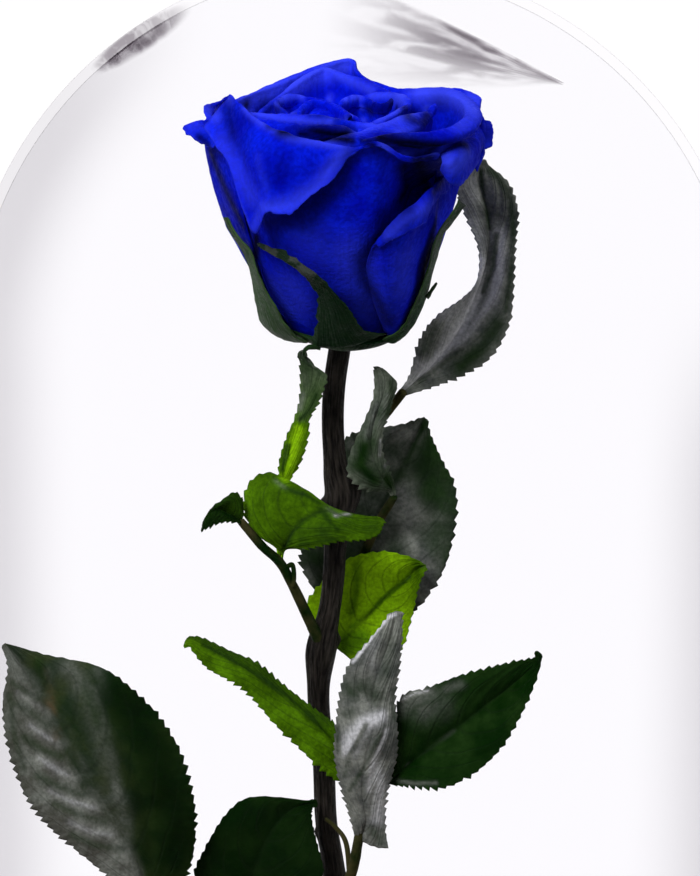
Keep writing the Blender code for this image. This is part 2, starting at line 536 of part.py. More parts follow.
# Each leaf: its stalks, and its leaflets as rows of (left edge, midrib, right edge) in mm from base to tip
LEAVES = {
    "leaf_left": (
        [([(-6.2, -0.5, 132.5), (-10, -4, 141.5), (-12.5, -7, 147.5), (-15, -9, 152.5), (-18.5, -10, 156),
           (-22.5, -11, 161)], 1.2, 0.8),
         ([(-14.2, -8.6, 151), (-12.6, -8.8, 152), (-12.2, -8.6, 149.5), (-12.4, -8.2, 147.6)], 0.5, 0.4)],
        [
            [
                ((-15.2, -9, 152.6), (-15, -9, 152.6), (-14.8, -9, 152.6)),
                ((-15.2, -9, 155), (-14.4, -9, 154.6), (-13.8, -9, 155.2)),
                ((-19.7, -9, 158.6), (-13.3, -11.5, 157.5), (-11, -12, 155.9)),
                ((-21.8, -8, 163.4), (-11.6, -13, 160.5), (-7.4, -14, 156.9)),
                ((-20.4, -8, 168.4), (-9, -14, 162.7), (-4.1, -15, 157.9)),
                ((-16.5, -8.5, 170.1), (-6.1, -14.5, 163.7), (-1.2, -15.5, 158.2)),
                ((-11, -10.5, 167.2), (-3.1, -15, 163), (1.9, -16, 158.5)),
                ((-5.1, -13, 164.1), (-0.2, -15.5, 162.5), (4.3, -16, 159.7)),
                ((1.7, -15, 162.8), (3.1, -15.5, 162.3), (5, -16, 161.4)),
                ((5, -15.5, 162.5), (5.4, -15.5, 162.3), (5.6, -15.5, 161.9))
            ],
            [
                ((-15.2, -8.6, 152.7), (-15, -8.6, 152.5), (-14.8, -8.6, 152.7)),
                ((-15.6, -6.5, 160.1), (-15.4, -6.5, 160.1), (-15.2, -6.5, 160.1)),
                ((-15, -7.5, 167.9), (-14.4, -7.5, 167.7), (-13.6, -7.5, 167.7)),
                ((-14.8, -7, 172.2), (-13.6, -8, 172.4), (-11.2, -7, 172.2)),
                ((-13.6, -6, 176.4), (-12.2, -7, 176.6), (-9.8, -6, 176.4)),
                ((-11.8, -5.5, 180.7), (-10.8, -6.5, 180.5), (-9.3, -6, 180.8)),
                ((-11, -5, 184.6), (-9.8, -6, 184), (-7.7, -6.5, 183.6)),
                ((-10.8, -5, 189), (-8.7, -6, 187.9), (-6.5, -7, 186.9)),
                ((-10.6, -5.5, 192.4), (-8.6, -6.5, 191.6), (-6.1, -7, 189.7)),
                ((-10.8, -6, 193.5), (-10.4, -6.5, 193.5), (-9.4, -7, 192.4)),
                ((-10.2, -6.5, 194.3), (-10, -6.5, 194.5), (-9.8, -6.5, 194.1))
            ],
            [
                ((-22.7, -11, 160.9), (-22.7, -11, 161.3), (-22.7, -11, 161.7)),
                ((-24.6, -13, 161.5), (-24.5, -12.5, 162.6), (-23, -10, 165.1)),
                ((-26.1, -15, 161.9), (-26.4, -14, 163.9), (-24.7, -12, 166.7)),
                ((-27.8, -17, 161.6), (-27.8, -16.5, 164.3), (-27.3, -15, 165.2)),
                ((-29.1, -18.5, 161.3), (-29, -18, 162.8), (-28.6, -17.5, 163.9)),
                ((-29.9, -19, 160.8), (-29.9, -19, 161.2), (-29.7, -19, 161.6))
            ],
        ],
    ),
    "leaf_right": (
        [([(-2, 1, 162.5), (0.5, 4, 170), (3, 6, 176), (6.5, 6, 180.5), (9.3, 4, 184.4)], 1.2, 0.9)],
        [
            [
                ((8.9, 4.2, 184.6), (9.3, 4.2, 184.4), (9.7, 4.2, 184)),
                ((11.1, 5, 187.9), (13.5, 7, 187.7), (15.1, 6, 185.4)),
                ((12.9, 6, 194.2), (17.2, 9, 191.4), (21.1, 8, 187.3)),
                ((15.9, 7, 198.9), (20.8, 10, 196.5), (26.7, 9, 191)),
                ((21.1, 9, 202.5), (23.6, 12.5, 202.2), (30.4, 11, 197.6)),
                ((24.2, 12, 205.9), (25.7, 15, 208), (31.2, 13, 204.8)),
                ((24.6, 15, 212.6), (26.7, 18, 213.3), (31.7, 16, 211.9)),
                ((22.1, 18, 218.9), (26.4, 21, 218.6), (32.4, 20, 218.7)),
                ((20.5, 21, 223.9), (24.8, 23, 224.1), (30.5, 23, 224.1)),
                ((23.8, 23, 227.3), (25, 24, 227.2), (27.1, 25, 227.4)),
                ((25.6, 24, 228.7), (25.8, 24, 228.9), (26.3, 25, 228.6))
            ],
        ],
    ),
    "leaf_back": (
        [([(-6.2, 1.5, 131.5), (-4.4, 6, 134.5), (-1.5, 11, 142), (1.5, 11.3, 150), (4.5, 7.5, 157.5),
           (7.5, 2, 163.6)], 1.2, 0.8),
         ([(-5.2, 3, 133.6), (-3.8, 7, 135), (-2.6, 9.2, 137)], 0.9, 0.7)],
        [
            [
                ((7.2, 2, 163.9), (7.6, 2, 163.7), (7.8, 2, 164.1)),
                ((6.2, 1, 165.2), (6.9, 1, 165.6), (7.3, 1, 166.5)),
                ((2, -3, 166.1), (4.7, -2.5, 169.3), (6.5, -1, 169.4)),
                ((-1.2, -4.5, 169.4), (3.1, -4, 173.7), (4.9, -2.5, 173.5)),
                ((-0.8, -4.5, 173.8), (3.1, -4, 177.3), (4.9, -2.5, 177.5)),
                ((1.4, -3, 179.1), (3.9, -3, 181.1), (6.1, -1.5, 180.5)),
                ((3.7, -2, 184.6), (5.3, -2.5, 184.6), (7.1, -1, 184)),
                ((3.7, -1, 188.8), (5.7, -1.5, 187.9), (7.9, 0, 186.9)),
                ((3.9, 0, 190.1), (4.5, 0, 190.1), (5.5, 0, 189.5))
            ],
            [
                ((-5.4, 3.5, 133.7), (-5, 3.5, 133.5), (-4.6, 3.5, 133.1)),
                ((-9, 5, 135.6), (-2.2, 6, 134.2), (0.4, 5, 129.9)),
                ((-10.2, 6, 139.9), (0.4, 8, 136.4), (5.9, 7, 129.3)),
                ((-7.2, 7, 144.6), (3.4, 9.5, 139.2), (9.3, 8, 132.3)),
                ((-1.6, 8.5, 149.5), (6.5, 10, 142.4), (11.1, 8.5, 138.4)),
                ((5.4, 9, 151), (9.7, 10, 145.3), (12.3, 8.5, 143.9)),
                ((10.9, 9, 150), (12.5, 9.5, 147.6), (13.5, 8.5, 147)),
                ((13.7, 9, 148.8), (14.1, 9, 148.6), (14.3, 9, 148.1))
            ],
            [
                ((-3, 9.3, 137.2), (-2.6, 9.3, 137), (-2.2, 9.3, 136.6)),
                ((-10.7, 12, 147.4), (-4, 12.5, 146), (2, 13, 136)),
                ((-9.7, 13, 152.9), (-0.8, 14, 150.7), (11, 14, 137.9)),
                ((-6.2, 13, 161.1), (2.8, 15, 155.7), (17, 14, 145.7)),
                ((-3.6, 13, 168.3), (6.1, 16, 161), (19.6, 14, 154.8)),
                ((-1.6, 13, 173.8), (8.5, 16, 165.7), (19.8, 14, 163.4)),
                ((3.8, 13, 175.4), (10.7, 15, 171), (16.9, 13, 169.7)),
                ((10.5, 13, 176.9), (12.5, 14, 175.1), (14.7, 13, 174.6)),
                ((13.3, 13, 177.9), (13.7, 13, 178.1), (14.1, 13, 177.7))
            ],
        ],
    ),
    "leaf_front": (
        [([(-4.6, -0.5, 79.5), (-1, -6, 88.5), (0.5, -9, 96.5), (2, -10, 105), (3.2, -10, 109)], 1.2, 0.9),
         ([(-1.2, -5.4, 88), (-2, -6.2, 95), (-4, -5.6, 98), (-6, -4.6, 99.5)], 0.6, 0.4)],
        [
            [
                ((0.2, -9, 96.7), (0.6, -9, 96.3), (6.3, -10, 95.4)),
                ((-0.8, -11, 100.9), (2, -12, 100.8), (5.5, -11, 100.1)),
                ((-2.6, -13, 107.5), (1.2, -15, 107.6), (5.9, -13, 107.1)),
                ((-4, -15, 115.1), (1.9, -18, 115.2), (7.7, -14, 114.3)),
                ((-3.6, -17, 122.2), (3.5, -19.5, 121.6), (7.8, -16, 120.8)),
                ((-2.8, -19, 128.1), (3.1, -19, 127.1), (7.4, -17, 127)),
                ((-1.2, -20, 134.3), (4.3, -19, 132.7), (8.2, -18, 133.2)),
                ((2.7, -20, 139.2), (6.2, -19, 138), (8.6, -18, 138.4)),
                ((5.8, -19.5, 143.1), (7.4, -19, 142.6), (8.7, -18.5, 142.9)),
                ((6.8, -19, 144.4), (7.7, -19, 144.8), (8.7, -19, 144.6))
            ],
            [
                ((3.2, -10, 109.4), (3.2, -10, 109), (3.2, -10, 108.6)),
                ((6.9, -10, 109.6), (6.7, -10, 108.8), (7.1, -10, 108.2)),
                ((7.5, -12, 118.4), (11.1, -10, 112.5), (11.6, -12, 108.1)),
                ((9, -13, 126.1), (15.6, -9.5, 115.8), (17, -12.5, 108.2)),
                ((14.9, -12.5, 128), (20.6, -9, 119.6), (22.9, -12, 110.7)),
                ((21.7, -11, 130.3), (25.5, -8, 123.4), (28.4, -11, 115.6)),
                ((28.4, -9, 131.7), (30.1, -7, 126.8), (32.4, -9.5, 122.3)),
                ((33.6, -7.5, 132.4), (34.1, -6.5, 130.3), (35.2, -8, 128)),
                ((35.6, -6.5, 132.6), (36, -6.5, 132.6), (36.4, -6.5, 131.8)),
                ((35.6, -7, 134.1), (36, -7, 134.3), (36.6, -7, 133.5))
            ],
            [
                ((3.4, -10.2, 107.9), (3.4, -10.2, 108.3), (3.4, -10.2, 108.7)),
                ((-2.2, -10, 108.4), (-1.8, -9.5, 111.1), (-2.2, -9, 112.7)),
                ((-7.5, -12, 112.4), (-4.4, -10, 116.5), (-4.6, -8.5, 119.2)),
                ((-14, -14, 119.3), (-9.9, -11, 122), (-9.5, -9, 123.6)),
                ((-19.3, -15, 125.6), (-15.6, -12, 127.1), (-14.8, -10, 128.3)),
                ((-23.7, -15.5, 129.7), (-20.9, -13, 131.4), (-20.1, -11, 132.5)),
                ((-28.2, -15.5, 132.5), (-26.3, -14, 134.8), (-25.6, -12, 135.6)),
                ((-30.6, -15.5, 135.1), (-30, -14.5, 137.1), (-29.5, -13, 137.8)),
                ((-32.3, -15.5, 137.3), (-32.1, -15, 138.2), (-31.8, -14, 138.6)),
                ((-33.7, -16, 137.4), (-33.5, -15.5, 138.1), (-33.1, -15, 138.6))
            ],
        ],
    ),
    "leaf_low": (
        [([(-1.8, -0.5, 59.5), (-11.5, -3, 64.5), (-24, -8, 72), (-34, -13, 79), (-40.8, -16, 85.5)],
          1.2, 0.9)],
        [
            [
                ((-41.3, -16, 85.8), (-40.7, -16, 85.6), (-40.1, -16, 85.6)),
                ((-48, -19, 91.3), (-42.9, -18, 94.2), (-33.8, -20, 92)),
                ((-54.5, -21, 97.5), (-47.1, -19, 101.4), (-31.7, -22, 100.8)),
                ((-60.8, -22, 103.8), (-51.7, -20, 108.9), (-32.3, -24, 110.7)),
                ((-65.2, -22.5, 110.9), (-55.9, -20.5, 116.4), (-35.8, -24, 120.7)),
                ((-67.8, -22, 119.4), (-59.7, -20, 123.7), (-42, -23, 128.4)),
                ((-68.6, -20.5, 127), (-63.2, -19, 130.3), (-49.8, -21, 133.9)),
                ((-67.7, -18.5, 133.4), (-66, -18, 134.8), (-60.7, -18.5, 135.9)),
                ((-69, -17, 137.6), (-68.6, -17, 138), (-67.8, -17, 137.6))
            ],
            [
                ((-23.8, -7.8, 71.7), (-23.4, -7.8, 71.5), (-23, -7.8, 71.5)),
                ((-30, -11, 81.5), (-22.5, -9.5, 81.1), (-15.1, -11, 79.5)),
                ((-31.9, -13, 89.6), (-20.7, -11, 88.7), (-8.7, -12, 84.9)),
                ((-29.5, -14, 96), (-18.7, -11.5, 95), (-6.8, -11.5, 90.5)),
                ((-26.1, -14, 102.1), (-16.1, -11, 99.7), (-7.9, -11, 95.8)),
                ((-21.8, -12.5, 105.6), (-13.1, -10, 102.7), (-8.9, -10, 100.1)),
                ((-15.5, -10.5, 105.3), (-10.5, -9, 103.5), (-9.1, -9.5, 102.4)),
                ((-10.3, -9, 104.3), (-8.6, -8.5, 103.8), (-8.7, -9, 103.1)),
                ((-7.8, -8.5, 104.2), (-7.6, -8.5, 103.8), (-7.6, -8.5, 103.6))
            ],
            [
                ((-23, -8, 71.6), (-23.6, -8, 72), (-24, -8, 72.4)),
                ((-19.5, -12, 67.4), (-24.7, -11.5, 67.3), (-29.8, -13, 69.8)),
                ((-19.9, -15, 61.1), (-26.7, -14, 60.4), (-34.1, -16, 63.9)),
                ((-23.4, -17.5, 53.2), (-29.8, -17, 53.1), (-35.7, -18, 55.9)),
                ((-29.3, -19.5, 48.1), (-31.9, -19.5, 48.5), (-34.9, -19.5, 49.8)),
                ((-32.9, -20, 45.8), (-33.1, -20, 46), (-33.3, -20, 46.2))
            ],
        ],
    ),
}


def main():
    clear_scene()
    wood = make_material("turned_wood", (0.33, 0.17, 0.08), 0.45)
    glass = make_material("clear_glass", (0.97, 0.98, 1.0), 0.02, transmission=1.0)
    bark = make_material("dark_stem", (0.03, 0.022, 0.02), 0.6)
    petal_blue = make_material("blue_petal", (0.01, 0.015, 0.55), 0.7)
    green = make_material("sepal_green", (0.05, 0.12, 0.05), 0.6)
    leaf_green = make_material("leaf_green", (0.045, 0.085, 0.035), 0.5)

    make_base(wood)
    make_dome(glass)
    stem = make_stem_tube("stem", 0)
    stem.data.materials.append(bark)

    clear_of_stem = make_stem_tube("stem_clearance", GAP)
    clear_of_stem.display_type = "WIRE"
    clear_of_stem.hide_render = True

    turn = Matrix.Rotation(TILT_RIGHT, 4, "Y") @ Matrix.Rotation(TILT_FORWARD, 4, "X")
    place = Matrix.Translation(BLOOM_FOOT) @ turn
    make_bloom(petal_blue, place)
    make_calyx(green, place)
    for name, (stalks, leaflets) in LEAVES.items():
        make_leaf(name, leaf_green, clear_of_stem, stalks, leaflets)


main()
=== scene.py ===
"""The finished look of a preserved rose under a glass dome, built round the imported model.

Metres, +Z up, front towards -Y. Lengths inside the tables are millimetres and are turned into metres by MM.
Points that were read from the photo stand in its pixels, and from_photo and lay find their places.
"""

import functools
import math
from typing import NamedTuple

import bmesh
import bpy
import numpy as np
from mathutils import Matrix, Vector, noise
from mathutils.bvhtree import BVHTree


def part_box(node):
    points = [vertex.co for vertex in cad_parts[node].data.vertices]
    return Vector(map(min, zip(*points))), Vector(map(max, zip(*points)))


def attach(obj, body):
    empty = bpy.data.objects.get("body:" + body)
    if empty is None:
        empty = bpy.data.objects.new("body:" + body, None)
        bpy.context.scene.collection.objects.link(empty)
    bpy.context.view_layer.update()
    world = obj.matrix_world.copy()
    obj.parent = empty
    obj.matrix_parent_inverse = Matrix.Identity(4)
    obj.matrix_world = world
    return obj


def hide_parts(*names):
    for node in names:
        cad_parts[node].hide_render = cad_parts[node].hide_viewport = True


bl_info = {
    "name": "Preserved rose under a dome",
    "version": (1, 0, 0),
    "blender": (4, 5, 0),
    "location": "3D View > Sidebar > Rose",
    "description": "Builds a preserved blue rose, its leaves, its glass dome and its wooden base",
    "category": "Object",
}

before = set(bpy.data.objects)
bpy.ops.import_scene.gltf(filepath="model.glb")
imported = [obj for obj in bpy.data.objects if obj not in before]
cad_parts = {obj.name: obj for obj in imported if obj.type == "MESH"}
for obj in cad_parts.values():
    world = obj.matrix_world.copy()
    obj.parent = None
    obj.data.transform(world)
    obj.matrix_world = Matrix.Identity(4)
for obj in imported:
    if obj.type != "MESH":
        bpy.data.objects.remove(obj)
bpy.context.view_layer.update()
MM = 0.001

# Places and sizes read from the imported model
DOME_LOW, DOME_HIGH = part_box("glass_dome")
BASE_LOW, BASE_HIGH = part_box("wooden_base")
FOOT_BEAD = 1 * MM
DOME_RADIUS = (DOME_HIGH.x - DOME_LOW.x) / 2 - FOOT_BEAD
DOME_SPRING = DOME_HIGH.z - DOME_RADIUS
BASE_RADIUS = (BASE_HIGH.x - BASE_LOW.x) / 2

# The camera, in mm: what it aims at and how far off, and by how much it looks down
CAMERA_TARGET = (-1.2, 0, 175.86)
CAMERA_DISTANCE = 800
CAMERA_PITCH = math.radians(9)
# The photo's size in pixels, and what a pixel covers at the rose, in mm
PHOTO_WIDTH, PHOTO_HEIGHT = 700, 876
PIXEL = 0.198

# Bloom and calyx, round their own axis, which starts at this place in mm
BLOOM_FOOT = (-2.6, 0, 197.4)
TILT_FORWARD = math.radians(12)
TILT_RIGHT = math.radians(4)

# Share of a blade's thickness that is left along its edge
EDGE_THICKNESS = 0.4
# How far a tube's rounded end stands out, as a share of its radius
CAP_LENGTH = 0.6
WELD_DISTANCE = 1e-6
# A route's curve is measured in this many steps between two of its points
STEPS_PER_POINT = 24


# Small helpers


def smoothstep(x):
    x = np.clip(x, 0.0, 1.0)
    return x * x * (3 - 2 * x)


def spline(points, count):
    """count + 1 points, or rows of points, at even steps along a smooth curve through the given ones."""
    points = np.array(points, float)
    ends = np.concatenate([[2 * points[0] - points[1]], points, [2 * points[-1] - points[-2]]])
    step = np.linspace(0, len(points) - 1, count + 1)
    k = np.minimum(step.astype(int), len(points) - 2)
    t = (step - k).reshape(-1, *[1] * (points.ndim - 1))
    a, b, c, d = ends[k], ends[k + 1], ends[k + 2], ends[k + 3]
    return 0.5 * (2 * b + (c - a) * t + (2 * a - 5 * b + 4 * c - d) * t**2 + (3 * b - 3 * c + d - a) * t**3)


def smooth_route(points, count):
    """count + 1 points evenly spaced along one smooth curve through the given points."""
    fine = spline(points, STEPS_PER_POINT * (len(points) - 1))
    run = np.concatenate([[0], np.cumsum(np.linalg.norm(np.diff(fine, axis=0), axis=1))])
    want = np.linspace(0, run[-1], count + 1)
    return np.stack([np.interp(want, run, line) for line in fine.T], axis=1)


def sheet(net, rows, columns):
    """A fine grid of points through a coarse net of points."""
    return spline(spline(net, rows).swapaxes(0, 1), columns).swapaxes(0, 1)


def unit(vectors):
    return vectors / np.maximum(np.linalg.norm(vectors, axis=-1, keepdims=True), 1e-12)


def grid_normals(points):
    """Unit normals of a grid of points, towards columns crossed with rows."""
    return unit(np.cross(np.gradient(points, axis=1), np.gradient(points, axis=0)))


def field(points, scale, shift=0.0, octaves=2):
    """Smooth noise from about -1 to 1 at each point of a grid; scale is the size of its features."""
    flat = points.reshape(-1, points.shape[-1])
    away = Vector((shift, 2.3 * shift, -1.7 * shift))
    values = [noise.fractal(Vector(point) / scale + away, 0.9, 2.1, octaves) for point in flat]
    return np.array(values).reshape(points.shape[:-1])


def bloom_turn():
    """The bloom's lean, first forwards and then to the right, as a matrix."""
    forward, right = TILT_FORWARD, TILT_RIGHT
    forwards = np.array([
        (1, 0, 0), (0, math.cos(forward), -math.sin(forward)), (0, math.sin(forward), math.cos(forward))])
    sideways = np.array([
        (math.cos(right), 0, math.sin(right)), (0, 1, 0), (-math.sin(right), 0, math.cos(right))])
    return sideways @ forwards


# The space that a piece is built in, as its origin in mm and its turn
WORLD = ((0, 0, 0), np.eye(3))
BLOOM = (BLOOM_FOOT, bloom_turn())


def sight(px, py, space):
    """The camera's place in mm, and its way through a pixel of the photo, in a piece's own space."""
    origin, turn = space
    sine, cosine = math.sin(CAMERA_PITCH), math.cos(CAMERA_PITCH)
    camera = np.array(CAMERA_TARGET) + np.array((0, -cosine, sine)) * CAMERA_DISTANCE
    right = (px - PHOTO_WIDTH / 2) * PIXEL / CAMERA_DISTANCE
    down = (py - PHOTO_HEIGHT / 2) * PIXEL / CAMERA_DISTANCE
    way = np.array((right, cosine - down * sine, -sine - down * cosine))
    return (camera - origin) @ turn, way @ turn


def from_photo(px, py, depth, space=WORLD):
    """The place behind a pixel of the photo at a depth, which is its y, in mm and to a tenth of a mm."""
    camera, way = sight(px, py, space)
    return np.round(camera + way * (depth - camera[1]) / way[1], 1)


def bloom_net(rows):
    """Rows of places in mm; a row with fewer points is first spread to as many as the longest row has."""
    count = max(len(row) for row in rows)
    even = [row if len(row) == count else np.round(spline(row, count - 1), 1) for row in rows]
    return [[from_photo(*point, BLOOM) for point in row] for row in even]


class MeshParts:
    """Grids of points gathered into one mesh, with a UV map and, for each point, a tone."""

    def __init__(self):
        self.points, self.faces, self.uvs, self.tones = [], [], [], []
        self.count = 0

    def add(self, points, uv, tone, faces):
        self.points.append(points.reshape(-1, 3))
        self.uvs.append(uv.reshape(-1, 2))
        self.tones.append(np.broadcast_to(tone, (*uv.shape[:-1], 3)).reshape(-1, 3))
        self.faces.append(faces + self.count)
        self.count += points.size // 3

    def add_grid(self, points, tone=(0, 0, 0), uv_scale=(1, 1), uv_shift=(0, 0)):
        """A plain surface through a grid of points."""
        rows, columns = points.shape[:2]
        self.add(points, grid_uv(rows, columns) * uv_scale + uv_shift, tone, grid_faces(rows, columns))

    def add_blade(self, points, thickness, tone=(0, 0, 0)):
        """A closed blade round a grid of points, thinner along its edge."""
        rows, columns = points.shape[:2]
        size = rows * columns
        edge = np.ones((rows, columns))
        edge[[0, -1], :] = EDGE_THICKNESS
        edge[:, [0, -1]] = EDGE_THICKNESS
        offset = grid_normals(points) * (thickness / 2 * edge)[..., None]
        uv = grid_uv(rows, columns)
        front = grid_faces(rows, columns)
        index = np.arange(size).reshape(rows, columns)
        rim = np.concatenate([index[0, :], index[1:, -1], index[-1, -2::-1], index[-2:0:-1, 0]])
        after = np.roll(rim, -1)
        band = np.stack([rim, rim + size, after + size, after], axis=1)
        faces = np.concatenate([front, front[:, ::-1] + size, band])
        self.add(np.stack([points + offset, points - offset]), np.stack([uv, uv]), tone, faces)

    def paint(self, number, *sides):
        """Sets the tones of one part, or of a blade's front and back."""
        self.tones[number] = np.concatenate([side.reshape(-1, 3) for side in sides])

    def lay(self, strokes, space=WORLD):
        """Strokes drawn on the photo, laid where the camera sees these parts, in mm to a tenth of a mm."""
        skin = BVHTree.FromPolygons(np.concatenate(self.points).tolist(), np.concatenate(self.faces).tolist())
        laid = []
        for route, radius, strength in strokes:
            sights = [sight(px, py, space) for px, py in route]
            hits = [skin.ray_cast(Vector(camera) * MM, Vector(way))[0] for camera, way in sights]
            places = [np.round(np.array(hit) / MM, 1) for hit in hits if hit is not None]
            if places:
                laid.append((places, radius, strength))
        return laid

    def build(self, name, material, node):
        """The finished piece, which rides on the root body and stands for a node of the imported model."""
        mesh = bpy.data.meshes.new(name)
        points = np.concatenate(self.points)
        mesh.from_pydata(points.tolist(), [], np.concatenate(self.faces).tolist())
        corners = np.empty(len(mesh.loops), dtype=np.int32)
        mesh.loops.foreach_get("vertex_index", corners)
        mesh.uv_layers.new(name="UVMap").uv.foreach_set("vector", np.concatenate(self.uvs)[corners].ravel())
        tones = np.concatenate(self.tones)
        colours = mesh.color_attributes.new("tone", "FLOAT_COLOR", "POINT")
        colours.data.foreach_set("color", np.column_stack([tones, np.ones(len(tones))]).ravel())
        form = bmesh.new()
        form.from_mesh(mesh)
        bmesh.ops.remove_doubles(form, verts=form.verts, dist=WELD_DISTANCE)
        form.to_mesh(mesh)
        form.free()
        mesh.shade_smooth()
        mesh.materials.append(material)
        piece = bpy.data.objects.new(name, mesh)
        bpy.context.scene.collection.objects.link(piece)
        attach(piece, "root")
        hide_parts(node)
        return piece


def build_surface(grid, name, material, node):
    """A piece that is one plain surface."""
    parts = MeshParts()
    parts.add_grid(grid)
    return parts.build(name, material, node)


def grid_faces(rows, columns):
    index = np.arange(rows * columns).reshape(rows, columns)
    corners = index[:-1, :-1], index[:-1, 1:], index[1:, 1:], index[1:, :-1]
    return np.stack([corner.ravel() for corner in corners], axis=1)


def grid_uv(rows, columns):
    along, side = np.meshgrid(np.linspace(0, 1, rows), np.linspace(0, 1, columns), indexing="ij")
    return np.stack([side, along], axis=-1)


def tube_grid(route, radii, sides, relief=0):
    """Grid of points of a tube along the route, closed at both ends by rings that shrink to a point."""
    along = unit(np.gradient(route, axis=0))
    side = np.array((0.0, -1.0, 0.0))
    turn = np.linspace(0, 2 * math.pi, sides + 1)
    frames = []
    for direction in along:
        side = unit(side - direction * side.dot(direction))
        frames.append((side, np.cross(direction, side)))

    def ring(centre, size, frame_at):
        side, other = frame_at
        return centre + (np.outer(np.cos(turn) * size, side) + np.outer(np.sin(turn) * size, other))

    def cap(end, sign):
        for angle in np.radians((30, 60, 90)):
            centre = route[end] + along[end] * sign * radii[end] * CAP_LENGTH * math.sin(angle)
            yield ring(centre, max(math.cos(angle), 1e-4) * radii[end], frames[end])

    sizes = radii[:, None] + np.zeros(sides + 1) + relief
    body = [ring(*place) for place in zip(route, sizes, frames)]
    return np.array([*reversed(list(cap(0, -1))), *body, *cap(-1, 1)])


def turned_grid(profile, sides):
    """Grid of points of a lathe form, from (radius, height) points."""
    turn = np.linspace(0, 2 * math.pi, sides + 1)
    profile = np.array(profile)
    radius, height = profile[:, :1], profile[:, 1:]
    return np.stack([radius * np.sin(turn), -radius * np.cos(turn), height + 0 * turn], axis=-1)


# Material helpers


def add_node(tree, kind, inputs=None, **settings):
    """A node with its settings, and its inputs set to a value or linked from a socket."""
    node = tree.nodes.new(kind)
    for name, value in settings.items():
        setattr(node, name, value)
    for name, value in (inputs or {}).items():
        socket = node.inputs[name]
        if isinstance(value, bpy.types.NodeSocket):
            tree.links.new(value, socket)
        else:
            socket.default_value = value
    return node


def math_node(tree, operation, *values):
    return add_node(tree, "ShaderNodeMath", dict(enumerate(values)), operation=operation).outputs[0]


def product(tree, *values):
    return functools.reduce(lambda one, other: math_node(tree, "MULTIPLY", one, other), values)


def total(tree, *values):
    return functools.reduce(lambda one, other: math_node(tree, "ADD", one, other), values)


def difference(tree, one, other):
    return math_node(tree, "SUBTRACT", one, other)


def larger(tree, one, other):
    return math_node(tree, "MAXIMUM", one, other)


def mix_colour(tree, share, low, high):
    low, high = (value if isinstance(value, bpy.types.NodeSocket) else (*value, 1) for value in (low, high))
    return add_node(tree, "ShaderNodeMix", {"Factor": share, 6: low, 7: high}, data_type="RGBA").outputs[2]


def layered(tree, colour, *layers):
    """A colour drawn towards each layer's own colour in turn, by the product of that layer's shares."""
    for towards, *shares in layers:
        colour = mix_colour(tree, product(tree, *shares), colour, towards)
    return colour


def map_range(tree, value, low, high, to_low=0.0, to_high=1.0):
    inputs = {"Value": value, "From Min": low, "From Max": high, "To Min": to_low, "To Max": to_high}
    return add_node(tree, "ShaderNodeMapRange", inputs, interpolation_type="SMOOTHSTEP").outputs[0]


def stretched(tree, place, stretch):
    return add_node(tree, "ShaderNodeVectorMath", {0: place, 1: stretch}, operation="MULTIPLY").outputs[0]


def parts_of(tree, place):
    return add_node(tree, "ShaderNodeSeparateXYZ", {0: place}).outputs


def noise_texture(tree, place, scale, detail, **more):
    inputs = {"Vector": place, "Scale": scale, "Detail": detail, **more}
    return add_node(tree, "ShaderNodeTexNoise", inputs).outputs[0]


def new_group(name, inputs, outputs):
    """A shader node group: its tree, its inputs (a vector where no default is given) and its outputs."""
    tree = bpy.data.node_groups.new(name, "ShaderNodeTree")
    for socket, default in inputs.items():
        kind = "NodeSocketVector" if default is None else "NodeSocketFloat"
        made = tree.interface.new_socket(socket, in_out="INPUT", socket_type=kind)
        if default is not None:
            made.default_value = default
    for socket in outputs:
        tree.interface.new_socket(socket, in_out="OUTPUT", socket_type="NodeSocketFloat")
    return tree, tree.nodes.new("NodeGroupInput").outputs, tree.nodes.new("NodeGroupOutput").inputs


def use_group(tree, name, inputs):
    return add_node(tree, "ShaderNodeGroup", inputs, node_tree=shared_groups()[name]).outputs


def principled(name, **values):
    """A material and its tree and shader, with the shader's plain values set."""
    material = bpy.data.materials.new(name)
    material.use_nodes = True
    tree = material.node_tree
    shader = tree.nodes["Principled BSDF"]
    for socket, value in values.items():
        shader.inputs[socket.replace("_", " ")].default_value = value
    return material, tree, shader


def dress(tree, shader, colour, height, relief, rough, roughness):
    """Gives a surface its colour, its relief and its roughness.

    relief is the height's depth in metres and its strength; roughness is what rough's 0 and 1 stand for.
    """
    inputs = {"Height": height, "Distance": relief[0], "Strength": relief[1]}
    normal = add_node(tree, "ShaderNodeBump", inputs).outputs[0]
    shade = map_range(tree, rough, 0.0, 1.0, *roughness)
    for name, value in (("Base Color", colour), ("Normal", normal), ("Roughness", shade)):
        tree.links.new(value, shader.inputs[name])


# Shared effects


def mottle_group():
    """Soft blotches from 0 to 1 at two sizes, in metres."""
    inputs = {"Vector": None, "Size": 0.004, "Fine size": 0.001}
    tree, given, result = new_group("mottle", inputs, ["Value", "Fine"])
    for size, spread, output in (("Size", 0.18, "Value"), ("Fine size", 0.2, "Fine")):
        blotches = noise_texture(tree, given["Vector"], math_node(tree, "DIVIDE", 1.0, given[size]), 4.0)
        tree.links.new(map_range(tree, blotches, 0.5 - spread, 0.5 + spread), result[output])
    return tree


def grain_group():
    """Fine streaks that run along the second coordinate of a UV map."""
    tree, given, result = new_group("lengthwise_grain", {"UV": None, "Across": 40.0, "Along": 3.0}, ["Value"])
    stretch = add_node(tree, "ShaderNodeCombineXYZ", {"X": given["Across"], "Y": given["Along"], "Z": 1.0})
    streaks = noise_texture(tree, stretched(tree, given["UV"], stretch.outputs[0]), 1.0, 3.0)
    tree.links.new(map_range(tree, streaks, 0.3, 0.7), result["Value"])
    return tree


